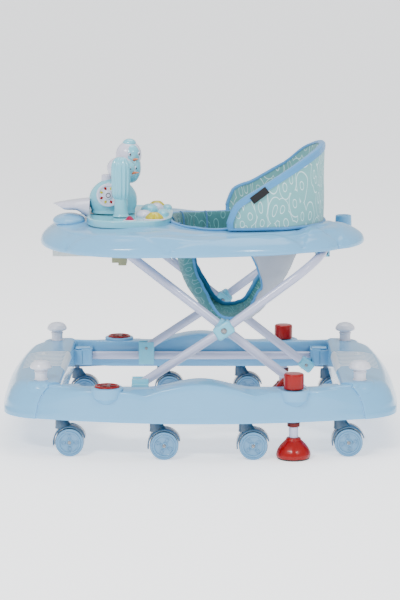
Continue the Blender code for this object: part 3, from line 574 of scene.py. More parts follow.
def base_side(name, side):
    bm = bmesh.new()
    rows = [[(p.x, side * p.y, p.z) for p in channel_section(*side_outlines(SEAM_SHARE * s))]
            for s in spread(176)]
    solid_sheet(bm, rows if side < 0 else rows[::-1], SHELL)
    for x, y in CASTOR_PLACES:
        socket = [(0.0065, BASE_TOP + HUMP * hump(x) - 0.002), (0.0065, 0.0803), (0, 0.0803)]
        turn(bm, socket, (x, side * y, 0), 20)
    x, y = CAP_PLACE
    boss(bm, x, side * y, 0.1285, 0.0955)
    turn(bm, [(0, 0.1262), (0.024, 0.1262)], (x, side * y, 0), 32)
    x, y = STOP_PLACE
    boss(bm, x, side * y, 0.1247, 0.0915)
    turn(bm, [(0.009, 0.1235), (0.024, 0.1235)], (x, side * y, 0), 32)
    piece(name, bm, BLUE, "base", "blue_plastic", f"base_side_{'near' if side < 0 else 'far'}", sharp=40)


def base_end(name, end):
    bm = bmesh.new()
    rows = [[(end * p.x, p.y, p.z) for p in channel_section(*end_outlines(SEAM_SHARE * q))]
            for q in spread(120)]
    solid_sheet(bm, rows if end < 0 else rows[::-1], SHELL)
    near_y, far_y = BLOCK_Y
    for side in SIDES.values():
        blocks = [((BLOCK_X[0], near_y, 0.0855), (BLOCK_X[1], far_y, 0.1165)),
                  ((BLOCK_X[1] - 0.004, near_y, 0.086), (0.2535, 0.212, 0.115)),
                  ((BLOCK_X[0] + 0.003, near_y + 0.004, 0.1155), (BLOCK_X[1] + 0.012, far_y - 0.018, 0.119))]
        if end > 0:
            blocks.append(((0.196, near_y, 0.078), (0.22, near_y + 0.006, 0.1)))
        for low, high in blocks:
            mirrored_box(bm, low, high, 0.0016, end, side)
        x, y = KNOB_PLACE
        pad = [(0.0112, 0.1305), (0.02, 0.1305), (0.0245, 0.1285), (0.03, 0.1195), (0.031, 0.112)]
        turn(bm, pad, (end * x, side * y, 0), 48, radius=0.0016)
    piece(name, bm, BLUE, "base", "blue_plastic", f"base_end_{'front' if end < 0 else 'rear'}", sharp=40)


def end_panel(name, end):
    """The frosted cover over the middle of an end, ribbed down to its inner lip, with two small bosses."""
    bm = bmesh.new()
    rows = []
    half_y = 0.0845
    for share in spread(96):
        y = half_y * share
        outer = Vector((BASE_HALF_LENGTH - END_BOW * y * y, y, 0))
        points = channel_section(outer, Vector((INNER_HALF_LENGTH, y, 0)))
        points = points[len(points) // 12: -2]
        rib = 0.0008 * (0.5 + 0.5 * math.cos(2 * math.pi * y / 0.014))
        row = []
        for number, p in enumerate(points):
            ribbed = smooth(0.55, 0.75, number / len(points))
            lift = 0.0018 - 0.001 * smooth(0.92, 1.0, abs(y) / half_y) + rib * ribbed
            inward = -lift if number / len(points) > 0.8 else 0.25 * lift
            row.append((end * (p.x + inward), p.y, p.z + lift * 0.9))
        rows.append(row)
    solid_sheet(bm, rows if end < 0 else rows[::-1], 0.0012)
    for side in SIDES.values():
        turn(bm, [(0, 0.134), (0.0028, 0.134), (0.0034, 0.132), (0.006, 0.132), (0.007, 0.129)],
             (end * 0.298, side * 0.052, 0), 24, radius=0.0006)
    piece(name, bm, FROSTED, "base", "frosted_plastic", name.replace("visual_", ""), sharp=40)


def corner_knob(end_name, side_name):
    x, y = ENDS[end_name] * KNOB_PLACE[0], SIDES[side_name] * KNOB_PLACE[1]
    bm = bmesh.new()
    stem = 0.0108
    cap = [(0, 0.1665), (0.006, 0.1662), (0.0118, 0.1645), (0.0165, 0.161), (0.0191, 0.156), (0.0194, 0.153),
           (0.0175, 0.151), (0.0112, 0.1495)]
    profile = cap + [(stem, 0.148), (stem, 0.147), (0.0121, 0.1462), (0.0121, 0.1446), (stem, 0.1438),
                     (stem, 0.1325), (0.0124, 0.1318), (0.0124, 0.1308), (stem, 0.13), (stem, 0.1125),
                     (0, 0.1125)]
    turn(bm, profile, (x, y, 0), 48, radius=0.0009)
    piece(f"knob_{end_name}_{side_name}", bm, WHITE, f"knob_{end_name}_{side_name}", "white_plastic",
          f"corner_knob_{end_name}_{side_name}")


def front_cap(side_name):
    """A red disc with a raised star and a dished rim."""
    x, y = CAP_PLACE
    place = (x, SIDES[side_name] * y, 0.1288)
    bm = bmesh.new()
    turn(bm, [(0, 0.0004), (0.0175, 0.0004), (0.019, 0.0022), (0.0208, 0.0026), (0.0222, 0.0012), (0.0225, 0),
              (0, 0)], place, 48, radius=0.0006)
    rows = []
    star = ((0.02, 0.0027), (0.6, 0.0026), (0.88, 0.0022), (1.0, 0.0012), (1.02, 0.0003))
    for angle in angles(80):
        reach = 0.0112 + 0.0046 * math.cos(5 * angle) + 0.0006 * math.cos(10 * angle)
        across, along = reach * math.cos(angle), reach * math.sin(angle)
        rows.append([(place[0] + r * across, place[1] + r * along, place[2] + z) for r, z in star])
    grid(bm, rows, closed=True, mat=1)
    piece(f"cap_{side_name}", bm, [RED, DARK_RED], "base", "red_plastic", f"front_cap_{side_name}")


def stopper(side_name):
    side = SIDES[side_name]
    place = (STOP_PLACE[0], side * STOP_PLACE[1], 0)
    body = f"stopper_{side_name}"
    knob = bmesh.new()
    top = [(0, 0.1526), (0.012, 0.153), (0.016, 0.1528), (0.0178, 0.1508)]
    turn(knob, top + [(0.0178, 0.1262), (0.017, 0.1252), (0, 0.1252)], place, 56, radius=0.0012)
    piece(f"knob_{body}", knob, RED, body, "red_plastic", f"stop_knob_{side_name}")
    shaft = bmesh.new()
    turn(shaft, [(0, 0.1247), (0.0084, 0.1247), (0.0084, 0.0383), (0, 0.0383)], place, 32, radius=0.0004)
    piece(f"shaft_{body}", shaft, TUBE, body, "painted_tube", f"stop_shaft_{side_name}")
    collar = bmesh.new()
    turn(collar, [(0.009, 0.065), (0.0112, 0.065), (0.0112, 0.0585), (0.0102, 0.0575), (0.009, 0.0575),
                  (0.009, 0.065)], place, 36, radius=0.0005)
    # The same red plastic, painted darker as shade under the base.
    piece(f"collar_{body}", collar, DARK_RED, body, "red_plastic")
    foot = bmesh.new()
    profile = [(0, 0.038), (0.0118, 0.038), (0.0128, 0.0368), (0.0135, 0.034), (0.017, 0.0308),
               (0.0222, 0.0255), (0.0268, 0.019), (0.0298, 0.0125), (0.0306, 0.007), (0.03, 0.0032),
               (0.028, 0.0024), (0, 0.0024)]
    turn(foot, profile, place, 72, radius=0.002, ribs=(8, 0.01))
    piece(f"foot_{body}", foot, RED, body, "red_plastic", f"stop_foot_{side_name}")
    pad = bmesh.new()
    turn(pad, [(0, 0.003), (0.0288, 0.0032), (0.0292, 0.0014), (0.0282, 0.0001), (0, 0.0001)], place, 56,
         radius=0.0006)
    piece(f"pad_{body}", pad, BLACK, body, "black_rubber")


def release_tab():
    """The small red catch beside the near stopper."""
    bm = bmesh.new()
    x, y = STOP_PLACE[0] - 0.0235, -STOP_PLACE[1] + 0.03
    way = Matrix.Translation((x, y, 0.1265)) @ Matrix.Rotation(math.radians(38), 4, "Y")
    cuboid(bm, (-0.004, -0.005, -0.012), (0.004, 0.005, 0.012), 0.0016, matrix=way)
    turn(bm, [(0, 0.006), (0.0055, 0.006), (0.0055, -0.006), (0, -0.006)], (x + 0.007, y, 0.133), 24, "Y",
         radius=0.0008)
    piece("release_tab", bm, RED, "base", "red_plastic")


def build_base():
    for side_name, side in SIDES.items():
        base_side(f"visual_base_side_{side_name}", side)
        front_cap(side_name)
        stopper(side_name)
        bm = bmesh.new()
        sweep(bm, [(RAIL_END * share, side * RAIL_Y, RAIL_Z) for share in spread(12)], TUBE_R, sides=28)
        piece(f"visual_rail_{side_name}", bm, TUBE, "base", "painted_tube", f"rail_{side_name}")
    for end_name, end in ENDS.items():
        base_end(f"visual_base_end_{end_name}", end)
        end_panel(f"visual_end_panel_{end_name}", end)
        for side_name in SIDES:
            corner_knob(end_name, side_name)
    release_tab()


# ---- castors ----

def castor_hood(name, body, x, y):
    """A hood that wraps the twin wheels over the front and top, a near-black disc between the wheels as
    painted shade in the gap, and the slanting swivel neck.
    """
    bm = bmesh.new()
    centre = Vector((x + TRAIL, y, WHEEL_R))
    section = []
    for half, radius in ((CASTOR_HALF, HOOD_R - 0.0022), (CASTOR_HALF + 0.0004, HOOD_R - 0.0008),
                         (CASTOR_HALF - 0.001, HOOD_R)):
        section.append((-half, radius))
    section = section + [(-half, radius) for half, radius in reversed(section)]
    section += [(CASTOR_HALF - 0.0012, HOOD_R - 0.0024), (-CASTOR_HALF + 0.0012, HOOD_R - 0.0024)]
    rows = []
    low, high, count = 18.0, 190.0, 44
    for k in range(count + 1):
        angle = math.radians(low + (high - low) * k / count)
        taper = min(smooth(0, 0.1, k / count), smooth(1.0, 0.86, k / count))
        tip = 0.62 + 0.38 * taper
        rows.append([centre + Vector((math.cos(angle) * r, across * (0.8 + 0.2 * tip), math.sin(angle) * r))
                     for across, r in section])
    capped(bm, rows)
    rows = []
    for share in (0, 0.25, 0.5, 0.75, 1.0):
        height = 0.049 + share * 0.0185
        middle = x + 0.007 * (1 - share) ** 1.5
        length, width = 0.0185 - 0.0085 * share ** 0.7, 0.012 - 0.003 * share
        rows.append([(middle + length * math.cos(a), y + width * math.sin(a), height) for a in angles(28)])
    bm.faces.new(grid(bm, rows, ring=True)[-1])
    turn(bm, [(0, 0.0795), (0.0049, 0.0795), (0.0049, 0.066), (0, 0.066)], (x, y, 0), 20)
    # A near-black disc between the wheels: painted shade in the gap.
    gap_shade_disc = [(0, 0.0018), (0.0235, 0.0018), (0.0235, -0.0018), (0, -0.0018)]
    turn(bm, gap_shade_disc, centre, 32, "Y", mat=1)
    piece(f"hood_{name}", bm, [SLATE, WHEEL_GAP_SHADE], body, "slate_plastic", name)


def wheel_pair(name, body, x, y, phase):
    """Twin wheels: a rounded tread, a raised ring, four dimples and the axle screw on each face."""
    bm = bmesh.new()
    centre = Vector((x + TRAIL, y, WHEEL_R))
    half, inner = CASTOR_HALF - 0.0002, 0.0036
    face = [(0, half - 0.0022), (0.0042, half - 0.0022), (0.005, half - 0.001), (0.0062, half - 0.001),
            (0.007, half - 0.0028), (0.0166, half - 0.0028), (0.0176, half - 0.0004), (0.0196, half - 0.0004),
            (0.0206, half - 0.0024), (0.0224, half - 0.0016), (WHEEL_R - 0.0012, half - 0.001),
            (WHEEL_R, half - 0.0035), (WHEEL_R, inner + 0.001), (WHEEL_R - 0.001, inner), (0.0024, inner)]
    dimple = [(0, -0.0004), (0.0022, -0.0002), (0.0028, 0.0018), (0.0036, 0.0018), (0.0041, -0.0008)]
    for side in SIDES.values():
        other = bmesh.new()
        turn(other, face, (0, 0, 0), 64, "Y", radius=0.0005)
        for k in range(4):
            angle = phase + math.pi / 2 * k
            spot = (0.0112 * math.cos(angle), -half + 0.0022, 0.0112 * math.sin(angle))
            turn(other, dimple, (spot[0], spot[1] + 0.0008, spot[2]), 24, "Y", radius=0.0003)
        if side > 0:
            bmesh.ops.transform(other, matrix=Matrix.Rotation(math.pi, 4, "Z"), verts=other.verts)
        bmesh.ops.translate(other, vec=centre, verts=other.verts)
        merge(bm, other)
        bolt(bm, centre + Vector((0, side * (half - 0.0022), 0)), 0.0036, side, 1)
    turn(bm, [(0, inner), (0.0024, inner), (0.0024, -inner), (0, -inner)], centre, 16, "Y", mat=1)
    piece(f"visual_{name}", bm, [WHEEL, STEEL], body, "wheel_plastic", name)


def build_castors():
    for number, (x, y) in enumerate(CASTOR_PLACES, start=1):
        for side_name, side in SIDES.items():
            label = f"{number}_{side_name}"
            castor_hood(f"castor_{label}", f"castor_{label}", x, side * y)
            wheel_pair(f"wheels_{label}", f"wheels_{label}", x, side * y, 0.5 + 1.1 * number)


# ---- scissor frame ----

def u_tube_points(feet, corner, y, bend, steps=16):
    """A U tube's centreline: up one leg, round a bend into the crossbar, and down the other leg."""
    along = (feet[-1] - corner).normalized()
    half = [foot + Vector((0, y, 0)) for foot in feet]
    start = corner + along * bend
    for k in range(steps + 1):
        angle = math.pi / 2 * k / steps
        half.append(start - along * bend * math.sin(angle) + Vector((0, y - bend * (1 - math.cos(angle)), 0)))
    return half + [Vector((p.x, -p.y, p.z)) for p in reversed(half)]


def bracket(bm, centre, way, length, height, y_low, y_high):
    """A rounded block round a leg, long along the leg."""
    turned = Matrix.Translation((centre.x, 0, centre.z)) @ Matrix.Rotation(-math.atan2(way.z, way.x), 4, "Y")
    ys = sorted((y_low, y_high))
    cuboid(bm, (-length / 2, ys[0], -height / 2), (length / 2, ys[1], height / 2), 0.0048, 0, turned, 5)


def slider(side_name, side):
    """The fork on the rail that holds the foot of tube B between its cheeks."""
    bm = bmesh.new()
    x, z = B_PIN.x, B_PIN.z
    low_x, high_x = x - 0.015, x + 0.015
    inner, slot_in, slot_out, outer = 0.1745, 0.1777, 0.1943, 0.2253
    walls = [((low_x, inner, 0.0872), (high_x, slot_in, z + 0.0118)),
             ((low_x, slot_out, 0.0872), (high_x, 0.206, z + 0.0118)),
             ((low_x, slot_in - 0.001, 0.0872), (high_x, slot_out + 0.001, 0.0945)),
             ((low_x, 0.2035, 0.1072), (high_x, outer, z + 0.006)),
             ((low_x, 0.2035, 0.0872), (high_x, outer, 0.089)),
             ((low_x, outer - 0.0018, 0.0872), (high_x, outer, z + 0.006))]
    for low, high in walls:
        mirrored_box(bm, low, high, 0.0009, turn_y=side)
    for y, facing in ((inner, -side), (0.206, side)):
        bolt(bm, (x, side * y, z), 0.0034, facing, 1)
    piece(f"visual_slider_{side_name}", bm, [AQUA, STEEL], "sliders", "aqua_plastic", f"slider_{side_name}")


def build_frame():
    a_foot = A_PIN - 0.003 * A_WAY
    b_way = (CROSS - B_PIN).normalized()
    b_foot = B_PIN - b_way * 0.008
    for name, points, body in (("frame_tube_a", u_tube_points([a_foot, CROSS], A_TOP, A_Y, A_BEND), "tube_a"),
                               ("frame_tube_b", u_tube_points([b_foot, CROSS], B_TOP, B_Y, B_BEND), "tube_b")):
        bm = bmesh.new()
        path = rounded(points[:3], 0.02, 5)[:-1] + points[2:-2] + rounded(points[-3:], 0.02, 5)[1:]
        sweep(bm, path, TUBE_R, sides=28, up=(0.05, 0.02, 1))
        piece(f"visual_{name}", bm, TUBE, body, "painted_tube", name)
    for side_name, side in SIDES.items():
        inner = bmesh.new()
        bracket(inner, CROSS, A_WAY, 0.0298, 0.0238, side * (A_Y - 0.0104), side * (A_Y + 0.0104))
        bolt(inner, (CROSS.x, side * (A_Y - 0.0104), CROSS.z), 0.0048, -side, 1)
        piece(f"visual_cross_a_{side_name}", inner, [AQUA, STEEL], "tube_a", "aqua_plastic",
              f"cross_bracket_a_{side_name}")
        outer = bmesh.new()
        bracket(outer, CROSS, b_way, 0.035, 0.0252, side * (B_Y - 0.0099), side * (B_Y + 0.0114))
        bolt(outer, (CROSS.x, side * (B_Y + 0.0114), CROSS.z), 0.0058, side, 1)
        piece(f"visual_cross_b_{side_name}", outer, [AQUA, STEEL], "tube_b", "aqua_plastic",
              f"cross_bracket_b_{side_name}")
        foot = bmesh.new()
        bracket(foot, A_PIN, A_WAY, 0.0298, 0.0218, side * (A_Y - 0.0104), side * (A_Y + 0.0104))
        bolt(foot, (A_PIN.x, side * (A_Y - 0.0104), A_PIN.z), 0.0036, -side, 1)
        bolt(foot, (A_PIN.x, side * (A_Y + 0.0104), A_PIN.z), 0.0036, side, 1)
        piece(f"visual_foot_{side_name}", foot, [AQUA, STEEL], "tube_a", "aqua_plastic",
              f"foot_bracket_{side_name}")
        slider(side_name, side)


# ---- tray ----

# The petals of the tray's side, from the rear round to the front: middle angle and half width in degrees.
PETALS = [(0.0, 30.0), (38.0, 8.0), (65.5, 19.5), (109.5, 24.5), (180.0, 46.0)]


def petal_edge(angle):
    """How near an angle is to a join between two petals, from 0 to 1."""
    folded = math.degrees(abs(math.atan2(math.sin(angle), math.cos(angle))))
    return max(0.0, max(1 - abs(folded - middle - half) / 6.0 for middle, half in PETALS[:-1]))


def petal_relief(angle, rise):
    """1 inside a petal's arch and 0 outside it, for a height from 0 at the tray's edge to 1 at its top."""
    folded = math.degrees(abs(math.atan2(math.sin(angle), math.cos(angle))))
    for middle, half in PETALS:
        across = abs(folded - middle) / half
        if across <= 1:
            return smooth(-0.045, 0.045, 0.985 * (1 - across ** 2.4) ** 0.5 - rise)
    return 0.0


def super_curve(angle, half_x, half_y, power):
    """A point on a superellipse, at an angle from +X."""
    c, s = math.cos(angle), math.sin(angle)
    return (half_x * math.copysign(abs(c) ** (2 / power), c),
            half_y * math.copysign(abs(s) ** (2 / power), s))


def tray_outline(angle):
    reach = TRAY_REAR if math.cos(angle) > 0 else TRAY_FRONT
    x, y = super_curve(angle, reach, TRAY_HALF_WIDTH, TRAY_POWER)
    pull = 1 - 0.012 * petal_edge(angle)
    return Vector((TRAY_MID_X + x * pull, y * pull, 0))


def hole_outline(angle):
    x, y = super_curve(angle, HOLE_HALF_LENGTH, HOLE_HALF_WIDTH, HOLE_POWER)
    return Vector((HOLE_MID_X + x, y, 0))


def tray_rim_height(x, y):
    """Height of the tray's top: level in front, lower beside the seat, falling away at the far rear."""
    far_rear = smooth(0.19, 0.235, x) * smooth(-0.04, 0.08, y)
    return 0.3975 - 0.0075 * smooth(-0.08, 0.0, x) + 0.006 * smooth(0.172, 0.2, x) - 0.014 * far_rear


def tray_section(angle):
    """The tray's skin from its bottom edge, up over the petalled side and the flat top, to the seat hole."""
    edge, hole = tray_outline(angle), hole_outline(angle)
    across = hole - edge
    width = across.length
    unit = across / width
    rows = [(0.0015, 0.0), (0.0, 0.06), (0.0004, 0.2), (0.004, 0.38), (0.012, 0.56), (0.024, 0.74),
            (min(0.04, 0.4 * width), 0.9), (0.45 * width + 0.012, 0.975), (0.65 * width, 1.0)]
    line = []
    for inset, rise in rows:
        place = edge + unit * inset
        line.append((place.x, place.y, TRAY_BOTTOM + (tray_rim_height(place.x, place.y) - TRAY_BOTTOM) * rise))
    relieved = []
    for point in curve_through(line, 6):
        rise = (point.z - TRAY_BOTTOM) / (tray_rim_height(point.x, point.y) - TRAY_BOTTOM)
        sunk = 0.0042 * (1 - petal_relief(angle, rise)) * smooth(1.0, 0.97, rise)
        relieved.append(point + unit * sunk * (1 - 0.6 * rise) - Vector((0, 0, sunk * 0.6 * rise)))
    line = relieved
    for short, drop in ((0.009, 0.0), (0.0065, -0.0016), (0.002, -0.0012), (0, 0.003)):
        place = edge + unit * (width - short)
        line.append(Vector((place.x, place.y, tray_rim_height(place.x, place.y) - drop)))
    line.append(Vector((hole.x, hole.y, HOLE_BOTTOM)))
    return line[:-6] + rounded(line[-6:], 0.003, 3)


def build_tray():
    bm = bmesh.new()
    solid_sheet(bm, [tray_section(angle) for angle in angles(480)], 0.0028, closed=True)
    ball(bm, (-0.244, -0.02, 0.396), (0.03, 0.056, 0.0125), segments=48)
    cup = [(0, 0.384), (0.01, 0.384), (0.01, 0.392), (0.0112, 0.3935), (0.014, 0.3935), (0.0152, 0.392),
           (0.016, 0.37)]
    turn(bm, cup, (0.271, 0.085, 0), 48, radius=0.001)
    piece("visual_tray", bm, BLUE, "tray", "blue_plastic", "tray_shell", sharp=36)

    guide = bmesh.new()
    for low_x, high_x, low_z, high_z in ((-0.27, -0.13, 0.337, 0.3595), (-0.27, -0.2642, 0.358, 0.374),
                                         (-0.1428, -0.13, 0.358, 0.374)):
        cuboid(guide, (low_x, -0.09, low_z), (high_x, 0.09, high_z), 0.0012)
    for k in range(7):
        x = -0.262 + 0.018 * k
        cuboid(guide, (x, -0.0908, 0.3395), (x + 0.0025, 0.0908, 0.359), 0.0006)
    piece("visual_guide", guide, CREAM, "tray", "white_plastic", "crossbar_guide")

    latch = bmesh.new()
    cuboid(latch, (-0.153, -0.024, 0.311), (-0.138, 0.024, 0.3367), 0.0012)
    cuboid(latch, (-0.165, -0.024, 0.316), (-0.1515, 0.024, 0.3367), 0.0012)
    for k in range(5):
        cuboid(latch, (-0.151, -0.018 + 0.008 * k, 0.3102), (-0.14, -0.014 + 0.008 * k, 0.3122), 0.0006)
    piece("visual_latch", latch, KHAKI, "latch", "khaki_plastic", "height_latch")

    cradle = bmesh.new()
    x, z = B_TOP.x, B_TOP.z
    for low_x, high_x, high_z in ((-0.0125, 0.0125, -0.0083), (-0.0125, -0.0088, 0.018),
                                  (0.0088, 0.0125, 0.018)):
        cuboid(cradle, (x + low_x, -0.112, z - 0.0125), (x + high_x, 0.112, z + high_z), 0.0012)
    for y in (-0.09, -0.03, 0.03, 0.09):
        turn(cradle, [(0, -0.0145), (0.0035, -0.0142), (0.0045, -0.0125)], (x, y, z), 20, mat=1)
    piece("visual_cradle", cradle, [AQUA, STEEL], "tray", "aqua_plastic", "hinge_cradle")


# ---- toys ----

BUTTON_PLACES = {"pink_button": (-0.128, -0.118, 0.0085, 0.4145),
                 "flower_near": (-0.084, -0.096, 0.017, 0.419),
                 "flower_far": (-0.084, 0.096, 0.017, 0.419)}


def toy_plate():
    bm = bmesh.new()
    rows = []
    for angle in angles(160):
        x, y = super_curve(angle, 1.0, 1.0, 3.0)
        line = []
        for inset, z in ((0.0, 0.3945), (0.0, 0.3985), (0.0, PLATE_TOP - 0.0014),
                         (0.0016, PLATE_TOP), (0.006, PLATE_TOP), (0.0075, PLATE_TOP - 0.001),
                         (0.02, PLATE_TOP - 0.001), (0.06, PLATE_TOP - 0.0008), (0.0785, PLATE_TOP - 0.0008)):
            half_x, half_y = PLATE_HALF_LENGTH - inset, PLATE_HALF_WIDTH - inset * 1.7
            line.append((PLATE_MID_X + x * half_x, y * half_y, z))
        rows.append(rounded(line, 0.0012, 3))
    grid(bm, rows, closed=True)
    piece("visual_toy_plate", bm, TOY_AQUA, "tray", "aqua_plastic", "toy_plate")
    rings = bmesh.new()
    for x, y, radius, _ in BUTTON_PLACES.values():
        ring = [(radius + 0.0003, PLATE_TOP - 0.003), (radius + 0.0003, PLATE_TOP + 0.001),
                (radius + 0.0026, PLATE_TOP + 0.0012), (radius + 0.004, PLATE_TOP - 0.0012)]
        turn(rings, ring, (x, y, 0), 48, radius=0.0008)
    piece("button_rings", rings, TOY_WHITE, "tray", "white_plastic")
    shells = bmesh.new()
    for centre, half, mat in (((-0.104, -0.05, 0.409), (0.015, 0.02, 0.009), 0),
                              ((-0.096, 0.02, 0.41), (0.017, 0.022, 0.012), 1),
                              ((-0.083, 0.052, 0.409), (0.013, 0.016, 0.011), 0),
                              ((-0.07, -0.01, 0.407), (0.012, 0.024, 0.0085), 1),
                              ((-0.064, 0.085, 0.406), (0.01, 0.017, 0.008), 1)):
        ball(shells, centre, half, mat)
    piece("toy_shells", shells, [TOY_WHITE, TOY_AQUA], "tray", "white_plastic")


def flower(name):
    """A bumpy dome of petals round a centre."""
    x, y, radius, top = BUTTON_PLACES[name]
    low = 0.4055
    bm = bmesh.new()
    rows = []
    for angle in angles(96):
        petal = abs(math.cos(3 * angle)) ** 0.6
        line = []
        for j in range(15):
            lift = math.radians(90 * j / 14)
            dent = 1 - 0.16 * (1 - petal) * math.cos(lift) ** 0.5
            r = radius * math.cos(lift) ** 0.75 * dent
            crown = 0.0012 * math.cos(lift * 4) * math.sin(2 * lift)
            z = low + (top - low) * math.sin(lift) + crown
            line.append((x + r * math.cos(angle), y + r * math.sin(angle), z))
        rows.append(line)
    grid(bm, rows, closed=True)
    bmesh.ops.remove_doubles(bm, verts=bm.verts, dist=SAME_PLACE)
    piece(f"visual_{name}", bm, YELLOW, name, "yellow_plastic", name, sharp=50)


def pink_button():
    x, y, radius, top = BUTTON_PLACES["pink_button"]
    bm = bmesh.new()
    facets = [(0, top), (0.3 * radius, top - 0.0002), (0.66 * radius, top - 0.0032),
              (0.95 * radius, top - 0.0062), (0.97 * radius, 0.405), (0, 0.405)]
    turn(bm, facets, (x, y, 0), 8)
    piece("visual_pink_button", bm, PINK, "pink_button", "pink_plastic", "pink_button", sharp=12)


def toy_tower():
    """The egg-shaped body with its flared foot, and the fluted column beside it."""
    bm = bmesh.new()
    rows = []
    levels = 26
    centre = Vector((-0.163, 0, 0))
    for angle in angles(72):
        line = []
        for j in range(levels + 1):
            z = 0.4076 + (0.4708 - 0.4076) * j / levels
            lift = max(0.0, 1 - ((z - 0.431) / 0.04) ** 2) ** 0.5
            foot = 0.1 * smooth(0.414, 0.4076, z)
            line.append(centre + Vector(((0.045 * lift + 0.045 * foot) * math.cos(angle),
                                         (0.034 * lift + 0.034 * foot) * math.sin(angle), z)))
        line.append(Vector((centre.x, 0, 0.471)))
        rows.append(line)
    grid(bm, rows, closed=True)
    bmesh.ops.remove_doubles(bm, verts=bm.verts, dist=SAME_PLACE)
    cap = [(0, 0.479), (0.0085, 0.4785), (0.0105, 0.477), (0.0112, 0.464), (0, 0.464)]
    turn(bm, cap, (-0.174, 0.004, 0), 40, mat=1, radius=0.001)
    column = [(0, 0.5163), (0.005, 0.516), (0.0095, 0.5138), (0.0132, 0.509), (0.0158, 0.501), (0.0164, 0.49),
              (0.016, 0.476), (0.0158, 0.458), (0.015, 0.448), (0.0128, 0.441), (0.0095, 0.438)]
    turn(bm, column, (-0.146, -0.062, 0), 120, ribs=(12, 0.075))
    stem = [(0.01, 0.446), (0.0115, 0.44), (0.0118, 0.433), (0.012, 0.42), (0.0132, 0.412),
            (0.0158, 0.4072), (0, 0.4072)]
    turn(bm, stem, (-0.146, -0.062, 0), 56, radius=0.0012)
    cuboid(bm, (-0.156, -0.06, PLATE_TOP), (-0.136, -0.02, 0.4172), 0.004)
    piece("visual_toy_tower", bm, [TOY_AQUA, TOY_WHITE], "tray", "aqua_plastic", "toy_tower", sharp=50)


def toy_dial():
    """A spinning dial with a ring of coloured diamonds round a white hub."""
    bm = bmesh.new()
    place = Vector((-0.17, -0.0367, 0.444))
    face = [(0, 0.0036), (0.0165, 0.0036), (0.0172, 0.0054), (0.0206, 0.0054), (0.0218, 0.0042),
            (0.0218, 0), (0, 0)]
    turn(bm, face, place, 64, "Y", radius=0.0006)
    hub = [(0, 0.0072), (0.006, 0.007), (0.008, 0.0056), (0.0085, 0.0034)]
    turn(bm, hub, place, 40, "Y", mat=1, radius=0.001)
    turn(bm, [(0.003, 0.0066), (0.0034, 0.0076), (0.0044, 0.0076), (0.0048, 0.0066)], place, 32, "Y", mat=4)
    for k in range(8):
        angle = math.radians(22.5 + 45 * k)
        way = Vector((math.cos(angle), 0, math.sin(angle)))
        across = Vector((-way.z, 0, way.x))
        middle = place + way * 0.0135 + Vector((0, -0.0037, 0))
        tip = [middle + way * 0.004, middle + across * 0.003, middle - way * 0.004, middle - across * 0.003]
        base = [bm.verts.new(p) for p in tip]
        peak = bm.verts.new(middle + Vector((0, -0.0016, 0)))
        for first, second in zip(base, base[1:] + base[:1]):
            bm.faces.new((first, second, peak)).material_index = 2 + k % 2
        bm.faces.new(base[::-1]).material_index = 2 + k % 2
    paints = [TOY_WHITE, TOY_WHITE, RED, YELLOW, BLACK]
    piece("visual_toy_dial", bm, paints, "dial", "white_plastic", "toy_dial")


def bird(bm, centre, half, heading, tilt):
    """A plain hooded bird: a white hood, an aqua face and cap, a beak and two small eyes."""
    turned = Matrix.Rotation(heading, 4, "Z") @ Matrix.Rotation(tilt, 4, "Y")
    centre = Vector(centre)
    x, y, z = half
    ball(bm, centre, half, 0, turned_by=turned)
    ball(bm, centre + turned.to_3x3() @ Vector((0.44 * x, 0, 0.02 * z)), (0.62 * x, 0.68 * y, 0.8 * z), 1,
         turned_by=turned)
    beak = [(0, 0.0135), (0.0012, 0.0128), (0.0034, 0.004), (0.004, 0), (0, 0)]
    other = bmesh.new()
    turn(other, beak, (0, 0, 0), 24)
    way = Matrix.Rotation(math.radians(78), 4, "Y") @ Matrix.Diagonal((0.7, 1.2, 1, 1))
    bmesh.ops.transform(other, matrix=turned @ way, verts=other.verts)
    bmesh.ops.translate(other, vec=centre + turned.to_3x3() @ Vector((0.97 * x, 0.02 * y, -0.22 * z)),
                        verts=other.verts)
    merge(bm, other, 2)
    for across in (-0.38, 0.38):
        spot = centre + turned.to_3x3() @ Vector((0.92 * x, across * y, 0.16 * z))
        ball(bm, spot, (0.003, 0.003, 0.0036), 0, 16, 12)
        ball(bm, spot + turned.to_3x3() @ Vector((0.0016, 0, 0)), (0.0019, 0.0019, 0.0024), 3, 12, 10)


def toy_birds():
    bm = bmesh.new()
    bird(bm, (-0.1475, -0.008, 0.4905), (0.027, 0.025, 0.0215), -0.55, 0.1)
    bird(bm, (-0.1345, 0.024, 0.5125), (0.0235, 0.0245, 0.0265), -1.05, 0.05)
    ball(bm, (-0.133, 0.022, 0.535), (0.0125, 0.0125, 0.0085), 1)
    ball(bm, (-0.13, 0.026, 0.489), (0.019, 0.02, 0.029), 0)
    ball(bm, (-0.1265, 0.014, 0.489), (0.015, 0.014, 0.0255), 1)
    ball(bm, (-0.14, 0.02, 0.478), (0.02, 0.02, 0.019), 1)
    paints = [TOY_WHITE, TOY_AQUA, ORANGE, BLACK]
    piece("visual_toy_birds", bm, paints, "tray", "white_plastic", "toy_birds", sharp=50)


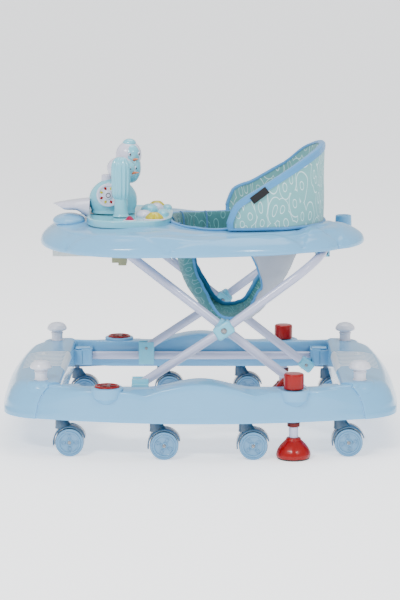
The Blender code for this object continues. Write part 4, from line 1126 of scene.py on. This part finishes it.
def toy_fin():
    """A smooth white paddle that narrows towards the front."""
    bm = bmesh.new()
    rows = []
    for k in range(37):
        t = k / 36
        x = -0.2745 + 0.069 * t
        round_tip = min(1.0, t / 0.14) ** 0.5 if t else 0.02
        top = 0.425 + 0.0105 * t ** 0.7
        low = 0.424 - 0.011 * smooth(0.0, 0.35, t) - 0.015 * smooth(0.6, 1.0, t)
        z, half_z = (top + low) / 2, max((top - low) / 2, 0.0025) * round_tip
        half_y = (0.014 + 0.02 * smooth(0.0, 0.7, t)) * round_tip
        rows.append([(x, half_y * math.copysign(abs(math.cos(a)) ** 0.85, math.cos(a)),
                      z + half_z * math.copysign(abs(math.sin(a)) ** 0.85, math.sin(a)))
                     for a in angles(40)])
    capped(bm, rows)
    piece("visual_toy_fin", bm, TOY_WHITE, "tray", "white_plastic", "toy_fin", sharp=50)


def build_toys():
    toy_plate()
    for name in ("flower_near", "flower_far"):
        flower(name)
    pink_button()
    toy_tower()
    toy_dial()
    toy_birds()
    toy_fin()


# ---- fabric seat ----

def simulate(obj, held, pressure, cap, frames=18):
    """Puffs up a closed mesh with a Cloth run and applies the result.

    held is each vertex's pin weight, and cap the furthest that a vertex may move.
    """
    group = obj.vertex_groups.new(name="held")
    for index, weight in enumerate(held):
        if weight > 0:
            group.add([index], weight, "REPLACE")
    before = [v.co.copy() for v in obj.data.vertices]
    cloth_mod = obj.modifiers.new("cloth", "CLOTH")
    settings = cloth_mod.settings
    settings.vertex_group_mass = "held"
    settings.use_pressure = True
    settings.uniform_pressure_force = pressure
    settings.quality = 6
    settings.mass = 0.2
    settings.tension_stiffness = settings.compression_stiffness = 12
    settings.bending_stiffness = 0.6
    settings.effector_weights.gravity = 0.0
    cloth_mod.collision_settings.use_collision = False
    cloth_mod.point_cache.frame_start = 1
    cloth_mod.point_cache.frame_end = frames
    scene = bpy.context.scene
    for number in range(1, frames + 1):
        scene.frame_set(number)
    evaluated = obj.evaluated_get(bpy.context.evaluated_depsgraph_get())
    after = [v.co.copy() for v in evaluated.data.vertices]
    obj.modifiers.remove(cloth_mod)
    scene.frame_set(1)
    for vertex, old, new in zip(obj.data.vertices, before, after):
        moved = new - old
        if moved.length > cap:
            moved *= cap / moved.length
        vertex.co = old + moved
    obj.vertex_groups.remove(group)
    obj.data.update()


def back_plan(v, grow=0.0):
    """Plan point of the wrap-round backrest, for v from -1 at its near front edge to 1 at its far one."""
    x, y = super_curve(v * math.pi / 2, BACK_REAR_X - BACK_FRONT_X + grow, BACK_HALF_WIDTH + grow, 2.4)
    return BACK_FRONT_X + x, y


def back_top(x, y):
    """Height of the backrest's top edge, which rises to the rear and sags on the far side."""
    t = min(max((x - BACK_FRONT_X) / (BACK_REAR_X - BACK_FRONT_X), 0.0), 1.0)
    sag = 0.01 * smooth(0.055, 0.105, x) * smooth(0.205, 0.16, x) * smooth(0.0, 0.05, y)
    return 0.411 + 0.022 * min(1.0, t / 0.09) ** 0.6 + 0.106 * t - sag


def back_rim():
    """The backrest's bound edge: up its near front, along the top and down its far front."""
    rim = [Vector((*back_plan(v, -0.0036), back_top(*back_plan(v)))) for v in spread(88)]
    near_down, far_down = ([Vector((end.x, end.y, end.z + (BACK_LOW - end.z) * step / 7))
                            for step in range(1, 8)] for end in (rim[0], rim[-1]))
    return curve_through((near_down[::-1] + rim + far_down)[::2], 3)


def bound_edge(bm, path):
    """A folded strip over the backrest's edge: a broad band outside and a narrow one inside."""
    profile = [(0.0046, -0.0105), (0.0058, -0.01), (0.0062, -0.005), (0.0056, -0.0005), (0.0036, 0.0018),
               (0.0, 0.0024), (-0.0036, 0.0018), (-0.0054, -0.0004), (-0.0056, -0.0028), (-0.0044, -0.0034),
               (-0.003, -0.001), (0.003, -0.001)]
    rows = []
    for k, point in enumerate(path):
        along = (path[min(k + 1, len(path) - 1)] - path[max(k - 1, 0)]).normalized()
        out = Vector((point.x - 0.105, point.y * 1.35, 0))
        out = (out - along * out.dot(along)).normalized()
        rise = out.cross(along)
        pucker = 0.0005 * noise.noise(point * 90)
        rows.append([point + out * (across + pucker) + rise * up for across, up in profile])
    capped(bm, rows)


def seat_backrest():
    """A padded panel wrapped round the child's back, quilted between its bound edges."""
    bm = bmesh.new()
    levels = 22
    rows = []
    for v in spread(104):
        x, y = back_plan(v)
        low, high = BACK_LOW, back_top(x, y)
        rows.append([(x, y, low + (high - low) * j / levels) for j in range(levels + 1)])
    solid_sheet(bm, rows, 0.0075, mats=(0, 1))
    # The outer face is the mint print; the inner face is the same print painted a little darker as shade.
    obj = piece("backrest_panel", bm, [MINT, MINT_INNER_SHADE], "tray", "mint_fabric", "seat_backrest", sharp=180)
    held = []
    for vertex in obj.data.vertices:
        x, y, z = vertex.co
        edge = min(z - BACK_LOW, back_top(x, y) - z)
        held.append(1.0 if edge < 0.004 or x < BACK_FRONT_X + 0.003 else 0.25 * smooth(0.02, 0.004, edge))
    simulate(obj, held, pressure=1.2, cap=0.0045)
    for vertex in obj.data.vertices:
        co = vertex.co
        crumple = smooth(0.0, 0.02, min(co.z - BACK_LOW, back_top(co.x, co.y) - co.z))
        tall = noise.noise(Vector((co.x * 26, co.y * 26, co.z * 7)))
        wide = noise.noise(Vector((co.x * 9 + 5, co.y * 9, co.z * 16)))
        out = Vector((co.x - 0.07, co.y, 0)).normalized()
        vertex.co = co + out * crumple * (0.0016 * tall + 0.002 * wide)
    binding = bmesh.new()
    bound_edge(binding, back_rim())
    piece("backrest_binding", binding, BINDING, "tray", "binding_fabric")
    lower = bmesh.new()
    path = []
    for v in spread(100):
        x, y = back_plan(v, 0.0008)
        path.append(Vector((x, y, BACK_LOW - 0.0005 + 0.0008 * noise.noise(Vector((x * 30, y * 30, 3))))))
    sweep(lower, path, 0.0038, sides=14, flat=0.8)
    piece("backrest_hem", lower, BINDING, "tray", "binding_fabric")
    seat_tag()


def seat_tag():
    """A blank folded label sewn below the near edge."""
    bm = bmesh.new()
    rows = []
    middle_x, length, height, lean = 0.1055, 0.034, 0.0135, math.radians(36)
    for k in range(13):
        along = length * (k / 12 - 0.5)
        row = []
        for j in range(6):
            up = height * (j / 5 - 0.5)
            x = middle_x + along * math.cos(lean) - up * math.sin(lean)
            z = 0.456 + along * math.sin(lean) + up * math.cos(lean)
            share = (x - BACK_FRONT_X) / (BACK_REAR_X - BACK_FRONT_X)
            y = -BACK_HALF_WIDTH * (1 - abs(share) ** 2.4) ** (1 / 2.4) - 0.004
            row.append((x, y - 0.0006 * math.sin(math.pi * k / 12), z))
        rows.append(row)
    solid_sheet(bm, rows[::-1], 0.0008)
    tag = piece("seat_tag", bm, TAG, "tray", "binding_fabric")


def round_hole(angle, scale, z):
    """A point at a height, on the hole's outline scaled about its middle."""
    centre = Vector((HOLE_MID_X, 0, 0))
    return centre + (hole_outline(angle) - centre) * scale + Vector((0, 0, z))


def seat_ring():
    """The inner cloth of the seat: gathered round the tray's hole and tucked down inside it."""
    bm = bmesh.new()
    rows = []
    for angle in angles(320):
        edge = hole_outline(angle)
        top = tray_rim_height(edge.x, edge.y) + 0.003
        gather = 0.0014 * math.sin(37 * angle + 2 * math.sin(5 * angle)) + 0.0012 * math.sin(61 * angle)
        line = []
        for scale, z in ((1.035, top - 0.003), (1.02, top + 0.0008), (1.0, top + 0.0015), (0.98, top - 0.0015),
                         (0.965, top - 0.009), (0.958, 0.376), (0.955, 0.364), (0.95, 0.3565)):
            ripple = gather * smooth(top + 0.001, 0.37, z)
            line.append(round_hole(angle, scale - ripple * 4, z + 0.4 * ripple))
        rows.append(rounded(line, 0.004, 3))
    solid_sheet(bm, rows, 0.0016, closed=True)
    # The mint print, painted dark as shade down inside the hole.
    ring = piece("seat_ring", bm, MINT_DEEP_SHADE, "tray", "mint_fabric")
    seams = bmesh.new()
    for angle in (2.0, 2.55, math.pi, -2.55, -2.0, 1.45, -1.45):
        edge = hole_outline(angle)
        top = tray_rim_height(edge.x, edge.y) + 0.003
        places = ((1.022, top + 0.0015), (1.0, top + 0.0022), (0.976, top - 0.001), (0.958, top - 0.01),
                  (0.95, 0.374), (0.947, 0.36))
        line = [round_hole(angle, scale, z) for scale, z in places]
        sweep(seams, curve_through(line, 5), 0.0017, sides=10, up=(0.3, 0.2, 1))
    # The seams are the blue binding painted darker as shade inside the hole.
    seam_piece = piece("seat_ring_seams", seams, BINDING_PAINTED_SHADE, "tray", "binding_fabric")
    piping = bmesh.new()
    path = []
    for angle in angles(150):
        edge = hole_outline(angle)
        loose = 0.0022 * noise.noise(Vector((math.cos(angle) * 6, math.sin(angle) * 6, 1.5)))
        top = tray_rim_height(edge.x, edge.y) + 0.0028
        path.append(round_hole(angle, 1.03 + 4 * loose, top + abs(loose)))
    sweep(piping, curve_through(path, 2, closed=True), 0.003, sides=14, closed=True, flat=0.8)
    piping_piece = piece("seat_piping", piping, BINDING, "tray", "binding_fabric")


# The sling cloth's thickness, and the side view of its centre line as (x, z) points, in metres.
SLING_THICK = 0.0028
SLING_LINE = [Vector((x, 0, z)) for x, z in (
    (-0.046, 0.372), (-0.041, 0.328), (-0.03, 0.286), (-0.006, 0.245), (0.022, 0.216), (0.05, 0.2075),
    (0.08, 0.214), (0.11, 0.231), (0.136, 0.258), (0.155, 0.288), (0.173, 0.325), (0.188, 0.372))]


def sling_centre(t):
    """Side view of the seat sling: from the front strap, down under the child, and up behind."""
    last = len(SLING_LINE) - 1
    k = min(int(t * last), last - 1)
    f = t * last - k
    before, here = SLING_LINE[max(k - 1, 0)], SLING_LINE[k]
    there, after = SLING_LINE[k + 1], SLING_LINE[min(k + 2, last)]
    return 0.5 * (2 * here + (there - before) * f + (2 * before - 5 * here + 4 * there - after) * f ** 2
                  + (3 * here - before - 3 * there + after) * f ** 3)


def sling_point(t, v):
    here = sling_centre(t)
    ahead = sling_centre(min(t + 0.02, 1.0)) - sling_centre(max(t - 0.02, 0.0))
    inward = Vector((-ahead.z, 0, ahead.x)).normalized()
    half = 0.05 + 0.04 * smooth(0.12, 0.42, t) + 0.034 * smooth(0.62, 0.97, t)
    cup = 0.025 - 0.012 * smooth(0.2, 0.45, t) + 0.018 * smooth(0.55, 0.72, t) + 0.085 * smooth(0.72, 1.0, t)
    point = here + inward * cup * abs(v) ** 2.2
    loose = math.sin(math.pi * t) ** 0.5
    crease = 0.0026 * noise.noise(Vector((point.x * 34, v * 3.0, point.z * 34))) * loose
    crease += 0.0018 * noise.noise(Vector((t * 40, v * 2.0, 7.0))) * loose
    return Vector((point.x, half * math.sin(v * math.pi / 2), min(point.z, 0.3725))) + inward * crease


def seat_sling():
    bm = bmesh.new()
    count = 132
    rows = [[sling_point(k / count, v) for v in spread(56)] for k in range(count + 1)]
    split = int(0.56 * count)
    solid_sheet(bm, rows[:split + 1], SLING_THICK)
    solid_sheet(bm, rows[split:], SLING_THICK, mats=(0, 1))
    # The sling is the mint print painted darker as shade; the rear part's second skin is the grey lining.
    sling = piece("sling_cloth", bm, [SLING, LINING], "tray", "mint_fabric", "seat_sling", sharp=180)
    edges = bmesh.new()
    for v in (-1, 1):
        path = [sling_point(k / 90, v) + Vector((0, 0, 0.0005)) for k in range(91)]
        path = [p + Vector((0, 0.0008, 0.0008)) * noise.noise(p * 50) for p in path]
        sweep(edges, path, 0.0042, sides=14, up=(0, 1, 0.1), flat=0.6)
    binding = piece("sling_binding", edges, BINDING, "tray", "binding_fabric")


def build_seat():
    seat_backrest()
    seat_ring()
    seat_sling()


# ---- floor, light and camera ----

# Each area light's name, place, aim, size and power in watts.
LIGHTS = [("key", (-1.3, -2.4, 2.3), (0, 0, 0.25), (1.0, 0.35), 75),
          ("fill", (1.7, -2.3, 2.0), (0, 0, 0.25), (0.45, 0.35), 30),
          ("top", (0.2, 0.6, 3.2), (0, 0, 0.2), (2.4, 2.0), 60)]
CAMERA_PLACE, CAMERA_TURN = (0.0128, -3.9, 0.8541), (math.radians(81.09), 0, math.radians(0.208))
CAMERA_LENS, CAMERA_SENSOR = 126.45, 36.0
FLOOR_HALF = 90


def stage():
    """A large pale floor, an even studio sky, three soft lights and the camera."""
    bm = bmesh.new()
    bmesh.ops.create_grid(bm, x_segments=4, y_segments=4, size=FLOOR_HALF)
    mesh = bpy.data.meshes.new("floor")
    bm.to_mesh(mesh)
    bm.free()
    floor = bpy.data.objects.new("floor", mesh)
    bpy.context.scene.collection.objects.link(floor)
    paper, _, shader = new_material("floor_paper", (0.92, 0.92, 0.93), 0.7)
    shader.inputs["Emission Color"].default_value = (0.97, 0.98, 1.0, 1)
    shader.inputs["Emission Strength"].default_value = 0.9
    mesh.materials.append(paper)

    world = bpy.data.worlds.new("studio")
    world.use_nodes = True
    background = world.node_tree.nodes["Background"]
    background.inputs["Color"].default_value = (0.96, 0.98, 1.0, 1)
    background.inputs["Strength"].default_value = 0.95
    bpy.context.scene.world = world

    for name, place, aim, size, power in LIGHTS:
        data = bpy.data.lights.new(name, "AREA")
        data.shape = "RECTANGLE"
        data.size, data.size_y = size
        data.energy = power
        light = bpy.data.objects.new(name, data)
        light.location = place
        light.rotation_euler = (Vector(aim) - Vector(place)).to_track_quat("-Z", "Y").to_euler()
        bpy.context.scene.collection.objects.link(light)

    data = bpy.data.cameras.new("camera")
    data.lens, data.sensor_width = CAMERA_LENS, CAMERA_SENSOR
    camera = bpy.data.objects.new("camera", data)
    camera.location, camera.rotation_euler = CAMERA_PLACE, CAMERA_TURN
    bpy.context.scene.collection.objects.link(camera)
    bpy.context.scene.camera = camera


build_base()
build_castors()
build_frame()
build_tray()
build_toys()
build_seat()
stage()
